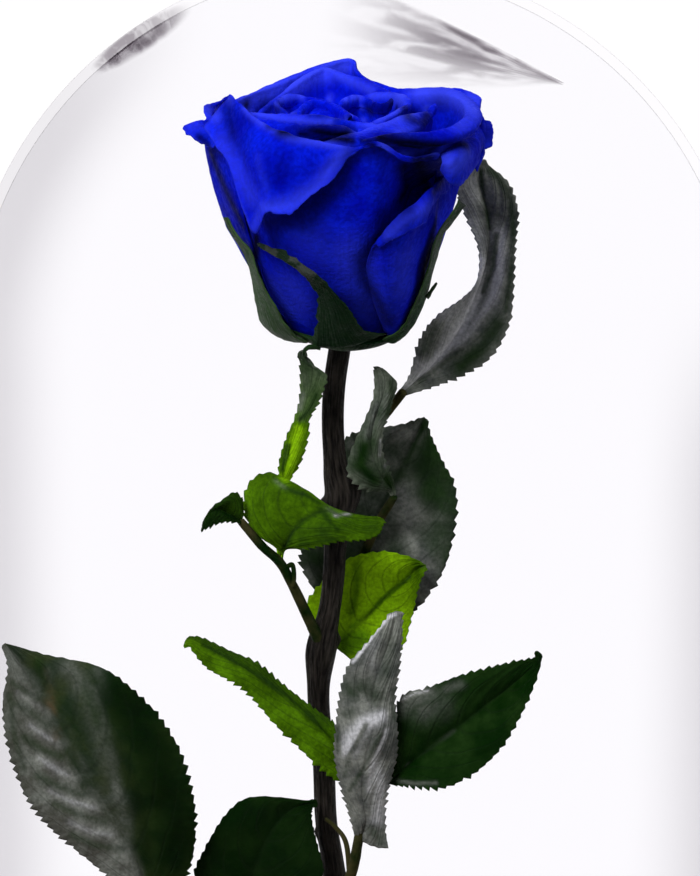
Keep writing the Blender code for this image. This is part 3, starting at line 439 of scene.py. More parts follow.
def veins_group():
    """A leaflet's midrib with its side veins, and the net between them, from its UV map: 1 on a vein."""
    tree, given, result = new_group("leaf_veins", {"UV": None, "Pairs": 8.0}, ["Veins", "Net"])
    across, run = parts_of(tree, given["UV"])[:2]
    side = math_node(tree, "ABSOLUTE", difference(tree, across, 0.5))
    midrib = map_range(tree, side, 0.0, 0.022, 1.0, 0.0)
    wander = noise_texture(tree, given["UV"], 5.0, 2.0)
    sweep = product(tree, math_node(tree, "POWER", side, 1.3), 1.15)
    along = total(tree, difference(tree, run, sweep), product(tree, wander, 0.06))
    phase = math_node(tree, "FRACT", product(tree, along, given["Pairs"]))
    from_vein = math_node(tree, "ABSOLUTE", difference(tree, phase, 0.5))
    fade = map_range(tree, side, 0.3, 0.5, 1.0, 0.2)
    side_veins = product(tree, map_range(tree, from_vein, 0.0, 0.11, 1.0, 0.0), fade)
    cells = add_node(tree, "ShaderNodeTexVoronoi", {
        "Vector": stretched(tree, given["UV"], (17.0, 30.0, 1.0)), "Scale": 1.0}, feature="DISTANCE_TO_EDGE")
    tree.links.new(larger(tree, midrib, side_veins), result["Veins"])
    tree.links.new(map_range(tree, cells.outputs[0], 0.0, 0.09, 1.0, 0.0), result["Net"])
    return tree


# The painted reflections that streak the crown, in dome radii from its centre: a fan that spreads to the left
# from its tip, and a lens at the left, with their slopes in degrees
FAN_TIP, FAN_SLOPE = (0.5, 0.64), -27.5
LENS_CENTRE, LENS_SLOPE = (-0.535, 0.78), 33
LENS_LENGTH, LENS_WIDTH = 0.15, 0.05


def glass_painted_light_group():
    """Feathery painted reflections in the crown; painted shade darkens the sides softly to their edge."""
    tree, given, result = new_group("crown_streaks", {"Place": None}, ["Streaks", "Edge shade"])
    place = parts_of(tree, given["Place"])

    def blend(value, share, other, other_share):
        return total(tree, product(tree, value, share), product(tree, other, other_share))

    rise = difference(tree, place[2], DOME_SPRING)
    x = product(tree, place[0], 1 / DOME_RADIUS)
    up = blend(rise, math.cos(CAMERA_PITCH) / DOME_RADIUS, place[1], math.sin(CAMERA_PITCH) / DOME_RADIUS)
    depth = blend(place[1], math.cos(CAMERA_PITCH) / DOME_RADIUS, rise, -math.sin(CAMERA_PITCH) / DOME_RADIUS)
    front = map_range(tree, depth, -0.02, 0.0, 1.0, 0.0)

    def turned(degrees, centre):
        """How far each place lies along and across a direction through a centre, in dome radii."""
        slope = math.radians(degrees)
        right = difference(tree, x, centre[0])
        over = difference(tree, up, centre[1])
        along = blend(right, math.cos(slope), over, math.sin(slope))
        return along, blend(over, math.cos(slope), right, -math.sin(slope))

    def feathers(first, second, stretch, least):
        sides = {"X": product(tree, first, stretch[0]), "Y": product(tree, second, stretch[1])}
        flat = add_node(tree, "ShaderNodeCombineXYZ", sides).outputs[0]
        return map_range(tree, noise_texture(tree, flat, 1.0, 4.0, Distortion=0.7), 0.36, 0.58, least, 1.0)

    def length(one, other):
        return math_node(tree, "SQRT", total(tree, product(tree, one, one), product(tree, other, other)))

    # The fan is straight along its upper edge
    along, across = turned(FAN_SLOPE, FAN_TIP)
    spread = math_node(tree, "ARCTAN2", product(tree, across, -1), product(tree, along, -1))
    away = length(along, across)
    patch = product(tree, map_range(tree, spread, -0.01, 0.02), map_range(tree, spread, 0.66, 0.05),
                    map_range(tree, away, 0.62, 0.2), feathers(away, spread, (6.0, 10.0), 0.25))
    along, across = turned(LENS_SLOPE, LENS_CENTRE)
    oval = blend(product(tree, along, along), LENS_LENGTH**-2,
                 product(tree, across, across), LENS_WIDTH**-2)
    lens = product(tree, map_range(tree, oval, 1.1, 0.35), map_range(tree, along, 0.16, -0.02, 0.35, 1.0),
                   feathers(along, across, (30.0, 14.0), 0.55))
    left = map_range(tree, x, -0.35, -0.8)
    right = product(tree, map_range(tree, x, 0.3, 0.7), map_range(tree, up, 0.2, -0.4))
    tree.links.new(product(tree, larger(tree, patch, lens), front), result["Streaks"])
    tree.links.new(larger(tree, left, right), result["Edge shade"])
    return tree


GROUPS = {}


def shared_groups():
    """The node groups that several materials use, made once."""
    if not GROUPS:
        GROUPS.update(mottle=mottle_group(), lengthwise_grain=grain_group(), leaf_veins=veins_group(),
                      crown_streaks=glass_painted_light_group())
    return GROUPS


def tone_attribute(tree):
    """The three shares that each point of a mesh carries."""
    colour = add_node(tree, "ShaderNodeAttribute", attribute_name="tone").outputs["Color"]
    return add_node(tree, "ShaderNodeSeparateColor", {0: colour}).outputs


def uv_map(tree):
    return add_node(tree, "ShaderNodeUVMap", uv_map="UVMap").outputs[0]


def object_place(tree):
    return add_node(tree, "ShaderNodeTexCoord").outputs["Object"]


def mottle_of(tree, size, fine_size):
    return use_group(tree, "mottle", {"Vector": object_place(tree), "Size": size, "Fine size": fine_size})


def grain_of(tree, across, along):
    inputs = {"UV": uv_map(tree), "Across": across, "Along": along}
    return use_group(tree, "lengthwise_grain", inputs)["Value"]


# Materials


def petal_material(settings):
    material, tree, shader = principled(
        "petal_velvet", Roughness=0.7, Specular_IOR_Level=0.03, Sheen_Weight=0.03, Sheen_Roughness=0.4,
        Sheen_Tint=(0.3, 0.3, 1, 1))
    mottle = mottle_of(tree, 0.006, 0.0009)
    grain = grain_of(tree, 46.0, 4.0)
    painted_shade, lit = tone_attribute(tree)[:2]
    along = parts_of(tree, uv_map(tree))[1]
    # Painted highlight along each petal's rim and on the lit crests, then painted shade in the hollows
    rim = product(tree, map_range(tree, along, 0.95, 1.0), 0.3)
    colour = layered(
        tree, mix_colour(tree, mottle["Value"], settings.petal_colour, settings.petal_light_colour),
        (settings.petal_shade_colour, grain, 0.12),
        (settings.petal_shade_colour, mottle["Fine"], 0.45),
        (settings.petal_shade_colour, map_range(tree, along, 0.0, 0.5, 1.0, 0.0), 0.1),
        (settings.petal_highlight_colour, larger(tree, rim, lit)),
        (settings.petal_painted_shade_colour, painted_shade))
    height = total(tree, product(tree, grain, 0.3), product(tree, mottle["Fine"], 0.5))
    dress(tree, shader, colour, height, (0.0003, 0.45), mottle["Fine"], (0.62, 0.8))
    return material


def leaf_material(name, settings):
    """Leaf finish; the tone attribute holds each place's painted backlight, its silver and painted sheen, and
    dryness.
    """
    material, tree, shader = principled(name, Specular_IOR_Level=0.03)
    backlit, silver_and_sheen_share, dry = tone_attribute(tree)
    mottle = mottle_of(tree, 0.005, 0.0007)
    veins = use_group(tree, "leaf_veins", {"UV": uv_map(tree), "Pairs": 7.0})

    def patched(colour, patches):
        return mix_colour(tree, mottle["Value"], colour, patches)

    # The pale underside, and a painted white sheen where its share goes above 1
    silver_and_sheen = layered(tree, patched(settings.silver_colour, settings.silver_shade_colour),
                     (settings.sheen_colour, map_range(tree, silver_and_sheen_share, 1.0, 2.0)))
    colour = layered(
        tree, patched(settings.dark_colour, settings.dark_light_colour),
        (silver_and_sheen, silver_and_sheen_share),
        # Painted light shining through the leaf, brighter above 1, and painted shade below 0
        (patched(settings.backlit_colour, settings.backlit_shade_colour), backlit),
        (settings.glow_colour, map_range(tree, backlit, 1.0, 2.0)),
        (settings.shade_colour, map_range(tree, backlit, 0.0, -1.0)),
        (settings.dark_colour, mottle["Fine"], 0.35),
        (settings.dry_colour, dry, mottle["Value"]),
        (settings.vein_colour, veins["Veins"], map_range(tree, silver_and_sheen_share, 0.0, 1.0, 0.3, 0.12)),
        (settings.dark_colour, veins["Net"], 0.1))
    sunk = total(tree, veins["Veins"], product(tree, veins["Net"], 0.15))
    height = difference(tree, product(tree, mottle["Fine"], 0.35), sunk)
    dress(tree, shader, colour, height, (0.0002, 0.6), mottle["Value"], (0.5, 0.7))
    return material


def sepal_material(settings):
    """Sepal skin; the tone attribute holds how dark (as a negative share), how pale and how grey it is."""
    material, tree, shader = principled("sepal_skin", Specular_IOR_Level=0.05)
    dark, pale, grey = tone_attribute(tree)
    mottle = mottle_of(tree, 0.003, 0.0006)
    grain = grain_of(tree, 22.0, 5.0)
    side = math_node(tree, "ABSOLUTE", difference(tree, parts_of(tree, uv_map(tree))[0], 0.5))
    colour = layered(
        tree, mix_colour(tree, mottle["Value"], settings.sepal_colour, settings.sepal_dark_colour),
        (settings.sepal_dark_colour, grain, 0.4),
        (settings.sepal_edge_colour, map_range(tree, side, 0.36, 0.5), 0.4),
        (settings.sepal_edge_colour, pale),
        (settings.sepal_dark_colour, map_range(tree, dark, 0.0, -1.0)),
        (settings.silver_shade_colour, grey, map_range(tree, mottle["Value"], 0.3, 0.7, 0.1, 0.6)))
    dress(tree, shader, colour, grain, (0.0002, 0.8), mottle["Fine"], (0.48, 0.68))
    return material


def bark_material(settings):
    material, tree, shader = principled("stem_bark", Specular_IOR_Level=0.04)
    mottle = mottle_of(tree, 0.012, 0.0008)
    grain = grain_of(tree, 26.0, 40.0)
    colour = layered(
        tree, mix_colour(tree, grain, settings.bark_colour, settings.bark_light_colour),
        (settings.bark_colour, mottle["Value"], 0.5))
    height = total(tree, grain, product(tree, grain_of(tree, 70.0, 60.0), 0.5))
    dress(tree, shader, colour, height, (0.0003, 0.8), mottle["Fine"], (0.42, 0.62))
    return material


def wood_material(settings):
    material, tree, shader = principled(
        "turned_walnut", Specular_IOR_Level=0.5, Coat_Weight=0.25, Coat_Roughness=0.18)
    place = object_place(tree)
    plank = stretched(tree, place, (1.0, 7.0, 7.0))
    rings = add_node(tree, "ShaderNodeTexWave", {
        "Vector": plank, "Scale": 9.0, "Distortion": 9.0, "Detail": 3.0, "Detail Scale": 0.6,
        "Phase Offset": noise_texture(tree, plank, 7.0, 3.0)}, bands_direction="Y").outputs[1]
    pores = noise_texture(tree, stretched(tree, place, (60.0, 1600.0, 1600.0)), 1.0, 2.0)
    pore_mask = map_range(tree, pores, 0.6, 0.72)
    colour = layered(
        tree, mix_colour(tree, rings, settings.wood_light_colour, settings.wood_dark_colour),
        (settings.wood_dark_colour, mottle_of(tree, 0.03, 0.001)["Value"], 0.3),
        (settings.wood_dark_colour, pore_mask, 0.55))
    height = difference(tree, product(tree, rings, 0.3), pore_mask)
    dress(tree, shader, colour, height, (0.00012, 0.5), rings, (0.34, 0.46))
    return material


def glass_material(settings):
    """Clear glass that lets the lamps' light through to the rose."""
    material, tree, shader = principled("dome_glass", Transmission_Weight=1.0, Roughness=0.0, IOR=1.45)
    # Painted reflections streak the crown and painted shade darkens the sides; both tint the glass
    shades = use_group(tree, "crown_streaks", {"Place": object_place(tree)})
    facing = add_node(tree, "ShaderNodeLayerWeight", {"Blend": 0.5}).outputs["Facing"]
    band = product(tree, shades["Edge shade"], map_range(tree, facing, 0.3, 0.65, 0.0, 0.1))
    grey = larger(tree, product(tree, shades["Streaks"], 0.85), band)
    tint = mix_colour(tree, grey, settings.glass_colour, settings.glass_reflection_and_shade_colour)
    tree.links.new(tint, shader.inputs["Base Color"])
    light = add_node(tree, "ShaderNodeLightPath").outputs
    clear = add_node(tree, "ShaderNodeBsdfTransparent", {"Color": tint}).outputs[0]
    plain_view = product(tree, light["Is Camera Ray"], map_range(tree, facing, 0.93, 0.995, 1.0, 0.45))
    share = larger(tree, light["Is Shadow Ray"], light["Is Diffuse Ray"])
    share = larger(tree, share, plain_view)
    mixed = add_node(tree, "ShaderNodeMixShader", {0: share, 1: shader.outputs[0], 2: clear}).outputs[0]
    tree.links.new(mixed, tree.nodes["Material Output"].inputs["Surface"])
    return material


# Bloom


# Petals that show from the front, as rows of points from the root to the free edge. Each point is where the
# photo shows it, read in pixels, and its depth in mm, which is its y round the bloom's own axis. Only
# the last three rows of the front petal were set in mm first and turned into photo positions afterwards.
OUTER_PETALS = {
    "front": [
        [(283, 322, 2), (290, 330, -2), (298, 335, -4), (305, 338, -5.5), (320, 340, -8), (340, 341, -9.5),
         (358, 340, -9.5), (374, 338, -8.5), (386, 334, -5.5), (392, 328, 0)],
        [(262, 285, -4), (270, 290, -9), (280, 291, -11.5), (290, 292, -13.5), (310, 292, -16.5),
         (334, 292, -18), (358, 292, -18), (378, 290, -15), (392, 286, -9), (400, 280, 0)],
        [(243, 225, -8), (256, 230, -15), (268, 233, -18.5), (280, 236, -20.5), (304, 238, -23),
         (332, 238, -24.5), (360, 237, -24), (384, 234, -20.5), (402, 228, -12), (410, 222, 0)],
        [(232, 150, -7), (246, 165, -14), (258, 173, -17.5), (272, 179, -20.5), (298, 184, -24),
         (330, 185, -26), (360, 185, -26), (388, 184, -23), (408, 182, -13), (420, 178, 2)],
        [(229, 103, -6.5), (249, 124, -14), (264, 134, -18), (280, 141, -21.5), (302, 147, -24),
         (331, 151, -26.2), (356, 155, -27), (384, 156, -25), (410, 166, -18), (430, 162, -4)],
        [(230, 94, -8), (251, 116.5, -17), (268, 128.5, -21), (284, 134.5, -23.8), (305, 140.5, -26),
         (333, 144.5, -27.6), (356, 148, -27.6), (377, 142.5, -27.3), (406, 157.5, -25.5), (438, 154, -17)],
        [(218.8, 109.3, -6.5), (237.1, 134.2, -15.5), (252.7, 159.1, -23.6), (268.1, 165, -27),
         (294.1, 160.6, -26.6), (327.5, 157.2, -28.2), (355.9, 150.1, -28.3), (378.8, 145.5, -28),
         (407.1, 159.8, -26), (439.8, 154.8, -17)],
        [(211.9, 117.8, -7.5), (235, 154, -18.2), (252.8, 198.5, -25), (265.7, 192.1, -28),
         (289.1, 186.3, -27.2), (323.2, 172.8, -28.8), (355.3, 151.7, -28.4), (379.3, 146.1, -28),
         (407.5, 160.7, -25.9), (440.2, 156.1, -16.9)],
        [(204.9, 125.9, -8.5), (228.7, 167.9, -19.6), (252.3, 231.2, -25.5), (265.9, 212.7, -29.4),
         (287.8, 212.4, -31.4), (322.2, 187.5, -31.6), (355.2, 153.2, -28.7), (379.8, 146.8, -28.1),
         (408, 161.6, -25.8), (440.1, 157, -16.8)],
    ],
    "right_front": [
        [(385, 333, -8.5), (391, 337, -9.5), (399, 338, -8.5), (404, 335, -5), (405, 330, 1)],
        [(373, 302, -15), (389, 302, -17.5), (405, 301, -15), (417, 300, -8), (421, 298, 2)],
        [(366, 270, -20.5), (386, 266, -23), (406, 263, -20.5), (423, 261, -12), (431, 258, 2)],
        [(371, 250, -24), (392, 232, -26), (412, 224, -24), (432, 220, -14), (440, 216, 2)],
        [(375, 245, -25), (397, 218, -27), (414, 204, -24), (430, 190, -18), (444, 176, -6)],
        [(378, 246.5, -25.8), (403, 223, -28.3), (421, 210, -25.5), (434, 196, -19), (448, 182, -6)],
        [(379, 248, -25.5), (405, 233, -27.9), (424, 223, -25.3), (433, 205, -19), (450, 187, -5)],
    ],
    "right": [
        [(404, 330, -2), (406, 328, 3), (405, 325, 8), (400, 322, 12)],
        [(430, 245, -8), (440, 243, 1), (442, 240, 8), (436, 236, 15)],
        [(434, 190, -10), (452, 183, -2), (460, 178, 6), (458, 172, 15)],
        [(436, 160, -13), (456, 146, -7), (470, 138, 2), (474, 128, 12)],
        [(440, 156, -17), (459, 146, -13), (475, 139, -3), (480, 130, 8)],
        [(442, 163, -20), (457, 159, -18.5), (475, 151, -8), (484, 140, 5)],
        [(440, 171, -19.5), (455, 184, -17.5), (472, 173, -8), (482, 156, 4)],
    ],
    "right_tip": [
        [(420, 300, 8), (419, 297, 10), (418, 295, 12), (415, 292, 14), (412, 290, 16)],
        [(458, 190, 8), (459, 185, 11), (460, 180, 14), (457, 176, 17), (455, 172, 20)],
        [(474, 148, 5), (477, 140, 7), (479, 132, 9), (479, 125, 11), (477, 119, 13)],
        [(480, 150, 3.5), (485, 143, 5), (487, 133, 7), (486, 124, 9), (482, 119, 11)],
        [(484, 151, 3), (491, 147, 4), (492.5, 135, 6), (492, 123.5, 8), (484, 120.5, 10)],
    ],
    "left": [
        [(300, 339, -3), (290, 333, 1), (284, 326, 5), (282, 318, 10), (282, 312, 14), (284, 306, 18)],
        [(272, 296, -10), (262, 285, -4), (254, 275, 2), (252, 265, 9), (254, 260, 14), (258, 255, 20)],
        [(252, 245, -13), (236, 228, -6), (224, 214, 1), (221, 205, 9), (224, 202, 15), (230, 198, 21)],
        [(238, 190, -13), (219, 176, -6), (210, 165, 1), (207, 152, 9), (212, 145, 15), (220, 138, 22)],
        [(231, 151, -12), (224, 147, -10), (217, 142, -7), (212, 136, -4), (210, 130, -1.5), (210, 124, 1),
         (212, 118, 4), (216, 112, 8), (221, 105, 13), (228, 98, 20)],
        [(223, 135, -12), (215, 134, -10), (207, 130, -7.5), (200, 125, -5), (202, 121.5, -3),
         (211, 119.5, -1), (211, 113, 2), (212, 108.5, 5), (220, 103, 10), (230, 96, 18)],
        [(213, 148, -12), (206, 146, -10), (197, 143.5, -8), (183, 129, -5), (190, 123, -3.5),
         (205, 121.5, -2), (205, 114, 0.5), (203.5, 106, 3), (216, 102, 9), (231, 99, 17)],
    ],
}
# Inner petals: crest line, free edge (None for a plain one), how far the root leans inwards, how deep it
# goes and how much the side bulges
INNER_PETALS = {
    "right_cup": (
        [(376, 92, 16), (395, 94, 14), (413, 94, 11), (432, 93, 9.5), (449, 94, 7), (461, 99, 3),
         (467, 107, -2), (466, 117, -8), (456, 124, -13), (440, 129, -17), (420, 132, -20),
         (398, 133.5, -22), (378, 136, -23), (362, 140, -24)],
        [(376, 87, 18), (395, 88, 16), (413, 88, 13.5), (433, 87, 12), (453, 88, 9.5), (470, 97, 5),
         (479, 110, -1), (479, 122, -8), (467, 131.5, -14), (444, 138, -19), (420, 141, -22),
         (394, 140, -24), (376, 141, -25), (360, 143, -25)],
        7, 14, 1.5,
    ),
    "right_band": (
        [(435, 103.5, 1), (424, 112, -4), (408, 117, -9), (391, 122, -13), (374, 126.5, -17),
         (356, 132.5, -20.5), (340, 138.5, -23), (318, 144, -25)],
        [(437, 105, 0.5), (430, 119, -6), (416, 129, -12.5), (399, 134, -18), (380, 138, -21.5),
         (362, 143, -24), (345, 145, -25.5), (320, 147, -26)],
        4, 12, 1,
    ),
    "rim_2": (
        [(246, 113, -9), (262, 119, -13), (280, 123, -16.5), (304, 125.5, -19), (328, 126, -20),
         (344, 127.5, -20), (353, 132, -20), (366, 136, -20)],
        [(244, 116, -10.5), (261, 124, -15), (281, 130, -19), (304, 132.5, -21), (329, 131, -21.8),
         (344, 130, -21.5), (354, 134, -20.8), (366, 138, -20.5)],
        3, 10, 0.5,
    ),
    "rim_1": (
        [(243, 111.5, -5), (266, 114.5, -9.5), (293, 116, -13), (321, 117.5, -15), (345, 121, -16),
         (366, 124, -16), (382, 128, -16)],
        [(243, 113, -6), (266, 117, -10.8), (293, 119, -14.3), (321, 120.5, -16.2), (345, 124, -17.2),
         (368, 127.5, -17), (382, 130, -17)],
        3, 10, 0.5,
    ),
    "heart_left": (
        [(290, 119, -10), (283, 110, -6), (275, 103.5, -3), (280, 98.7, 0), (288, 96.3, 3), (300, 96, 4.5),
         (314, 98.5, 3.5), (330, 103, 1), (345, 109, -4), (357, 117, -9), (362, 123, -12)],
        None,
        5, 6, 0.3,
    ),
    "heart_mid": (
        [(298, 118, -12), (298, 110, -9), (304, 104.5, -5.5), (313, 101, -3), (327, 103.5, -3.5),
         (340, 108.5, -7), (352, 116, -12)],
        None,
        4, 5, 0.3,
    ),
    "heart_right": (
        [(336, 109, -3), (341, 102, 2), (350, 97.7, 4.5), (360, 96.7, 6), (370, 99.5, 4.5), (379, 103, 1.5),
         (386, 102, 1.5), (391, 98.5, 3)],
        None,
        2, 8, 0.3,
    ),
    "ring": (
        [(350, 103, 8), (362, 98, 10), (380, 95, 9), (396, 96, 6.5), (404, 99, 3.5), (408, 104, 0),
         (399, 109.5, -5), (386, 117, -10), (372, 124, -14), (358, 130, -17)],
        [(350, 102, 9), (362, 96.5, 11.5), (380, 93, 10.5), (399, 94, 8), (408, 98, 4), (411, 105, -0.5),
         (401, 111.5, -6.5), (388, 119, -11.5), (373, 126, -15.5), (358, 132, -18)],
        3, 9, 0.4,
    ),
    "back_b": (
        [(258, 116, 6), (266, 109, 9.5), (273, 103, 12), (283, 95, 15), (300, 82, 19), (319, 70.5, 23),
         (328, 70, 23.5), (343, 77, 21), (362, 83, 18.5), (380, 92, 14), (396, 98, 9)],
        [(257, 115, 7), (265, 108, 10.5), (272, 102, 13), (282, 93.5, 16.2), (299, 80.5, 20.5),
         (319, 69, 24.5), (328, 68, 25), (345, 74.5, 22.5), (364, 80.5, 20), (383, 89, 16), (400, 96, 11)],
        9, 12, 0.5,
    ),
    "back_a": (
        [(232, 106, 0), (238, 101, 5), (246, 97, 9), (256, 92.5, 13), (274, 86.5, 18), (297, 76.5, 23),
         (320, 68, 26.5), (344, 60, 29), (354, 62, 29), (356, 72, 25), (370, 83, 20), (390, 91, 15)],
        [(230, 106, 1), (237, 100, 6.5), (245, 95.5, 10.5), (256, 91, 15), (274, 84.5, 20),
         (297, 74.5, 25.5), (320, 65.5, 29), (344, 58, 32), (355, 61, 32), (357, 71, 27.5), (372, 81.5, 22),
         (391, 89, 16.5)],
        12, 14, 1.0,
    ),
    "back_right": (
        [(448, 92, 18), (458, 93, 16), (466, 96, 14), (471, 99, 12), (474, 104, 10), (474, 110, 8)],
        [(452, 91, 19), (463, 92, 17), (470, 92.5, 15), (481, 97, 12), (480, 104, 10), (477, 111, 8)],
        5, 16, 1,
    ),
}
# Back petals, from the innermost: azimuth, half-angle, height and radius of the rim
BACK_PETALS = [(150, 48, 42, 22.5), (-128, 46, 41, 23.5), (116, 32, 43, 21.5), (178, 50, 41, 25.5)]
# Strokes painted on the bloom: painted shade in the hollows between petals, then painted highlights on
# the crests. Each is its points on the photo in pixels, its radius on the petals in mm and its strength.
PAINTED_SHADE_STROKES = [
    ([(282, 131), (318, 132), (346, 134)], 1.5, 1),
    ([(378, 138), (412, 143), (440, 146)], 1.5, 1),
    ([(442, 144), (466, 145)], 1.2, 0.9),
    ([(418, 163), (426, 185), (412, 200)], 4, 1),
    ([(347, 143), (374, 145)], 0.6, 0.9),
    ([(229, 112), (233, 134)], 2, 0.6),
    ([(200, 138), (208, 145)], 1, 0.8),
    ([(212, 156), (228, 194), (244, 226)], 1.6, 0.9),
    ([(212, 185), (226, 212)], 1.5, 0.3),
    ([(268, 222), (292, 217), (316, 201), (337, 176), (350, 155)], 2, 0.6),
    ([(379, 160), (381, 190), (377, 235)], 1.4, 0.3),
    ([(408, 210), (379, 236), (361, 257), (363, 277), (380, 303), (388, 324)], 1.8, 0.75),
    ([(352, 302), (385, 328)], 4, 0.45),
    ([(257, 236), (256, 256)], 1.5, 1),
    ([(433, 240), (421, 290), (405, 322)], 1.2, 0.9),
    ([(317, 296), (314, 332)], 1.6, 0.4),
    ([(370, 110), (392, 103)], 1.5, 0.8),
    ([(405, 108), (408, 117)], 1.2, 0.8),
    ([(264, 106), (279, 108)], 1.4, 0.5),
    ([(246, 105)], 1, 1),
    ([(424, 122), (427, 116)], 1.3, 0.9),
    ([(440, 104), (430, 124)], 2.2, 0.45),
    ([(336, 119), (352, 118)], 0.7, 0.6),
    ([(441, 182), (434, 192)], 1.2, 0.8),
    ([(481, 134), (482, 150)], 1.5, 0.4),
    ([(274, 162), (288, 190), (314, 178)], 3.2, 0.3),
    ([(272, 203), (296, 200), (316, 182), (334, 160)], 0.9, 0.35),
    ([(262, 150), (266, 180)], 0.8, 0.25),
    ([(404, 166), (407, 185), (402, 198)], 2.2, 0.95),
    ([(415, 160), (430, 158)], 1.6, 0.9),
    ([(344, 162), (352, 185)], 1.6, 0.3),
    ([(284, 134), (305, 136), (330, 138)], 0.7, 0.9),
    ([(362, 141), (385, 143), (408, 143)], 0.7, 0.9),
    ([(411, 120), (422, 124)], 1, 0.8),
    ([(268, 127), (280, 131)], 0.6, 0.7),
    ([(290, 113), (310, 116), (335, 118)], 0.5, 0.5),
    ([(374, 106), (386, 110)], 1, 0.7),
    ([(300, 134), (335, 139), (352, 141)], 0.9, 1),
    ([(392, 142), (415, 147), (436, 150)], 0.9, 1),
    ([(238, 122), (240, 145)], 3, 0.3),
]
LIT_CRESTS = [
    ([(246, 109), (262, 122), (290, 137), (320, 143), (345, 147)], 0.8, 0.6),
    ([(230, 98), (250, 112)], 1.2, 0.5),
    ([(252, 114), (286, 120), (330, 123), (364, 122)], 0.7, 0.6),
    ([(281, 100), (300, 97), (330, 99), (346, 100)], 0.7, 0.6),
    ([(275, 104), (292, 114), (330, 118), (347, 120), (362, 108)], 0.6, 0.5),
    ([(352, 98), (372, 97), (392, 96), (405, 103), (396, 112), (378, 120)], 0.7, 0.6),
    ([(330, 142), (352, 131), (380, 124), (410, 116), (427, 109)], 1, 0.6),
    ([(400, 132), (430, 130), (460, 124), (476, 113)], 1.8, 0.4),
    ([(400, 95), (420, 92), (440, 93), (460, 99), (473, 110)], 2, 0.8),
    ([(242, 101), (270, 91), (310, 77), (346, 65)], 1.8, 0.8),
    ([(284, 97), (302, 86), (326, 71), (342, 78), (372, 92)], 0.9, 0.6),
    ([(222, 145), (238, 172), (252, 196)], 2.6, 0.3),
    ([(264, 208), (290, 206), (315, 190), (334, 166), (345, 151)], 1.5, 0.5),
    ([(259, 214), (254, 229)], 0.9, 0.35),
    ([(382, 145), (405, 153), (436, 153)], 0.8, 0.7),
    ([(443, 157), (455, 166), (465, 158)], 2, 0.7),
    ([(387, 235), (406, 218), (428, 208)], 1.4, 0.5),
    ([(310, 240), (340, 265), (366, 292)], 5, 0.2),
    ([(290, 285), (300, 302)], 4, 0.3),
    ([(206, 109), (216, 116)], 1.5, 0.5),
    ([(190, 126), (205, 127)], 1.5, 0.25),
    ([(470, 96), (478, 101)], 1.4, 0.5),
    ([(488, 128), (490, 144)], 1.2, 0.35),
    ([(258, 158), (264, 182), (268, 200)], 0.9, 0.15),
    ([(350, 255), (362, 285), (370, 308)], 5, 0.35),
    ([(272, 288), (290, 308)], 4, 0.35),
    ([(404, 258), (400, 292)], 3, 0.3),
]
# A stroke reaches this much further from front to back than sideways
STROKE_REACH = 2.5
ROOT_RADIUS = 9
HEART_CENTRE = -4
# The solid core under the inner petals: its (radius, height) points and how far it leans sideways
CORE = [(0.01, 0.4), (8, 0.4), (11, 6), (14, 12), (17, 20), (19, 28), (16, 33), (5, 35), (0.01, 35)]
CORE_SHIFT = -3
# Painted shade that darkens the core under the inner petals
CORE_PAINTED_SHADE = (0.6, 0, 0)
# Mound of tightly furled petals at the heart: its (radius, height) points and its centre
MOUND = [(0.01, 30), (8, 30), (8.8, 38), (7.8, 42.6), (5.2, 45), (2.4, 45.9), (0.01, 46.1)]
MOUND_CENTRE = (-6.8, -3.5, 0)
# Steps along and across each kind of petal, and those of the core and the mound
FRONT_STEPS = (84, 96)
OUTER_STEPS = (48, 64)
INNER_STEPS = (24, 64)
BACK_STEPS = (28, 64)
CORE_STEPS = (40, 48)
MOUND_STEPS = (48, 64)


def inner_net(crest, edge, inwards, depth, bulge):
    """Rows of points of an inner petal, from its hidden root over its crest to its free edge, in mm."""
    crest, edge = (None if line is None else np.array(bloom_net([line])[0]) for line in (crest, edge))
    away = crest - (HEART_CENTRE, 0, 0)
    away[:, 2] = 0
    away /= np.maximum(np.linalg.norm(away, axis=1, keepdims=True), 3)
    if edge is None:
        run = np.gradient(crest, axis=0)
        edge = crest + unit(np.stack([run[:, 1], -run[:, 0], 0 * run[:, 0]], axis=1)) * 0.7 - (0, 0, 0.35)
    up = np.array((0, 0, 1.0))
    root = crest - away * inwards - up * depth
    side = crest - away * (0.35 * inwards - bulge) - up * 0.45 * depth
    below_crest = crest - away * 0.5 - up * 1.6
    tucked = edge - away * 0.3 - up * 1.5
    return np.array([root, side, below_crest, crest, edge, tucked])


def back_net(azimuth, half_angle, height, radius):
    """Rows of points of a plain outer petal, in mm."""
    rows = []
    upright = [(share, 0, 0) for share in (0, 0.25, 0.5, 0.75, 1)]
    for share, out, down in (*upright, (1, 2.2, 0.6), (1, 4, 3)):
        row = []
        for u in np.linspace(-1, 1, 7):
            angle = math.radians(azimuth + u * half_angle * (0.75 + 0.25 * share))
            rim = height - 5 * u**4
            r = ROOT_RADIUS + (radius - 1.5 * u * u - ROOT_RADIUS) * (1 - (1 - share) ** 1.7) + out
            row.append((r * math.sin(angle), -r * math.cos(angle), 1 + (rim - 1) * share**1.1 - down))
        rows.append(row)
    return rows


def petal_surface(net, rows, columns, number, settings):
    """A fine grid through a petal's net, with broad folds, small creases and a worn free edge, in metres."""
    points = sheet(net, rows, columns) * MM
    share = np.linspace(0, 1, rows + 1)[:, None]
    last = points[-1]
    wear = field(last, 4 * MM, number, 3) + 0.6 * field(last, 1.3 * MM, number + 0.5)
    flow = unit(np.gradient(points, axis=0))
    points = points + flow * (settings.edge_wear * wear * smoothstep((share - 0.85) / 0.15))[..., None]
    folds = settings.fold_depth * field(points, 8 * MM, number)
    creases = settings.crease_depth * field(points, 2.2 * MM, number)
    return points + grid_normals(points) * ((folds + creases) * smoothstep(3 * share))[..., None]


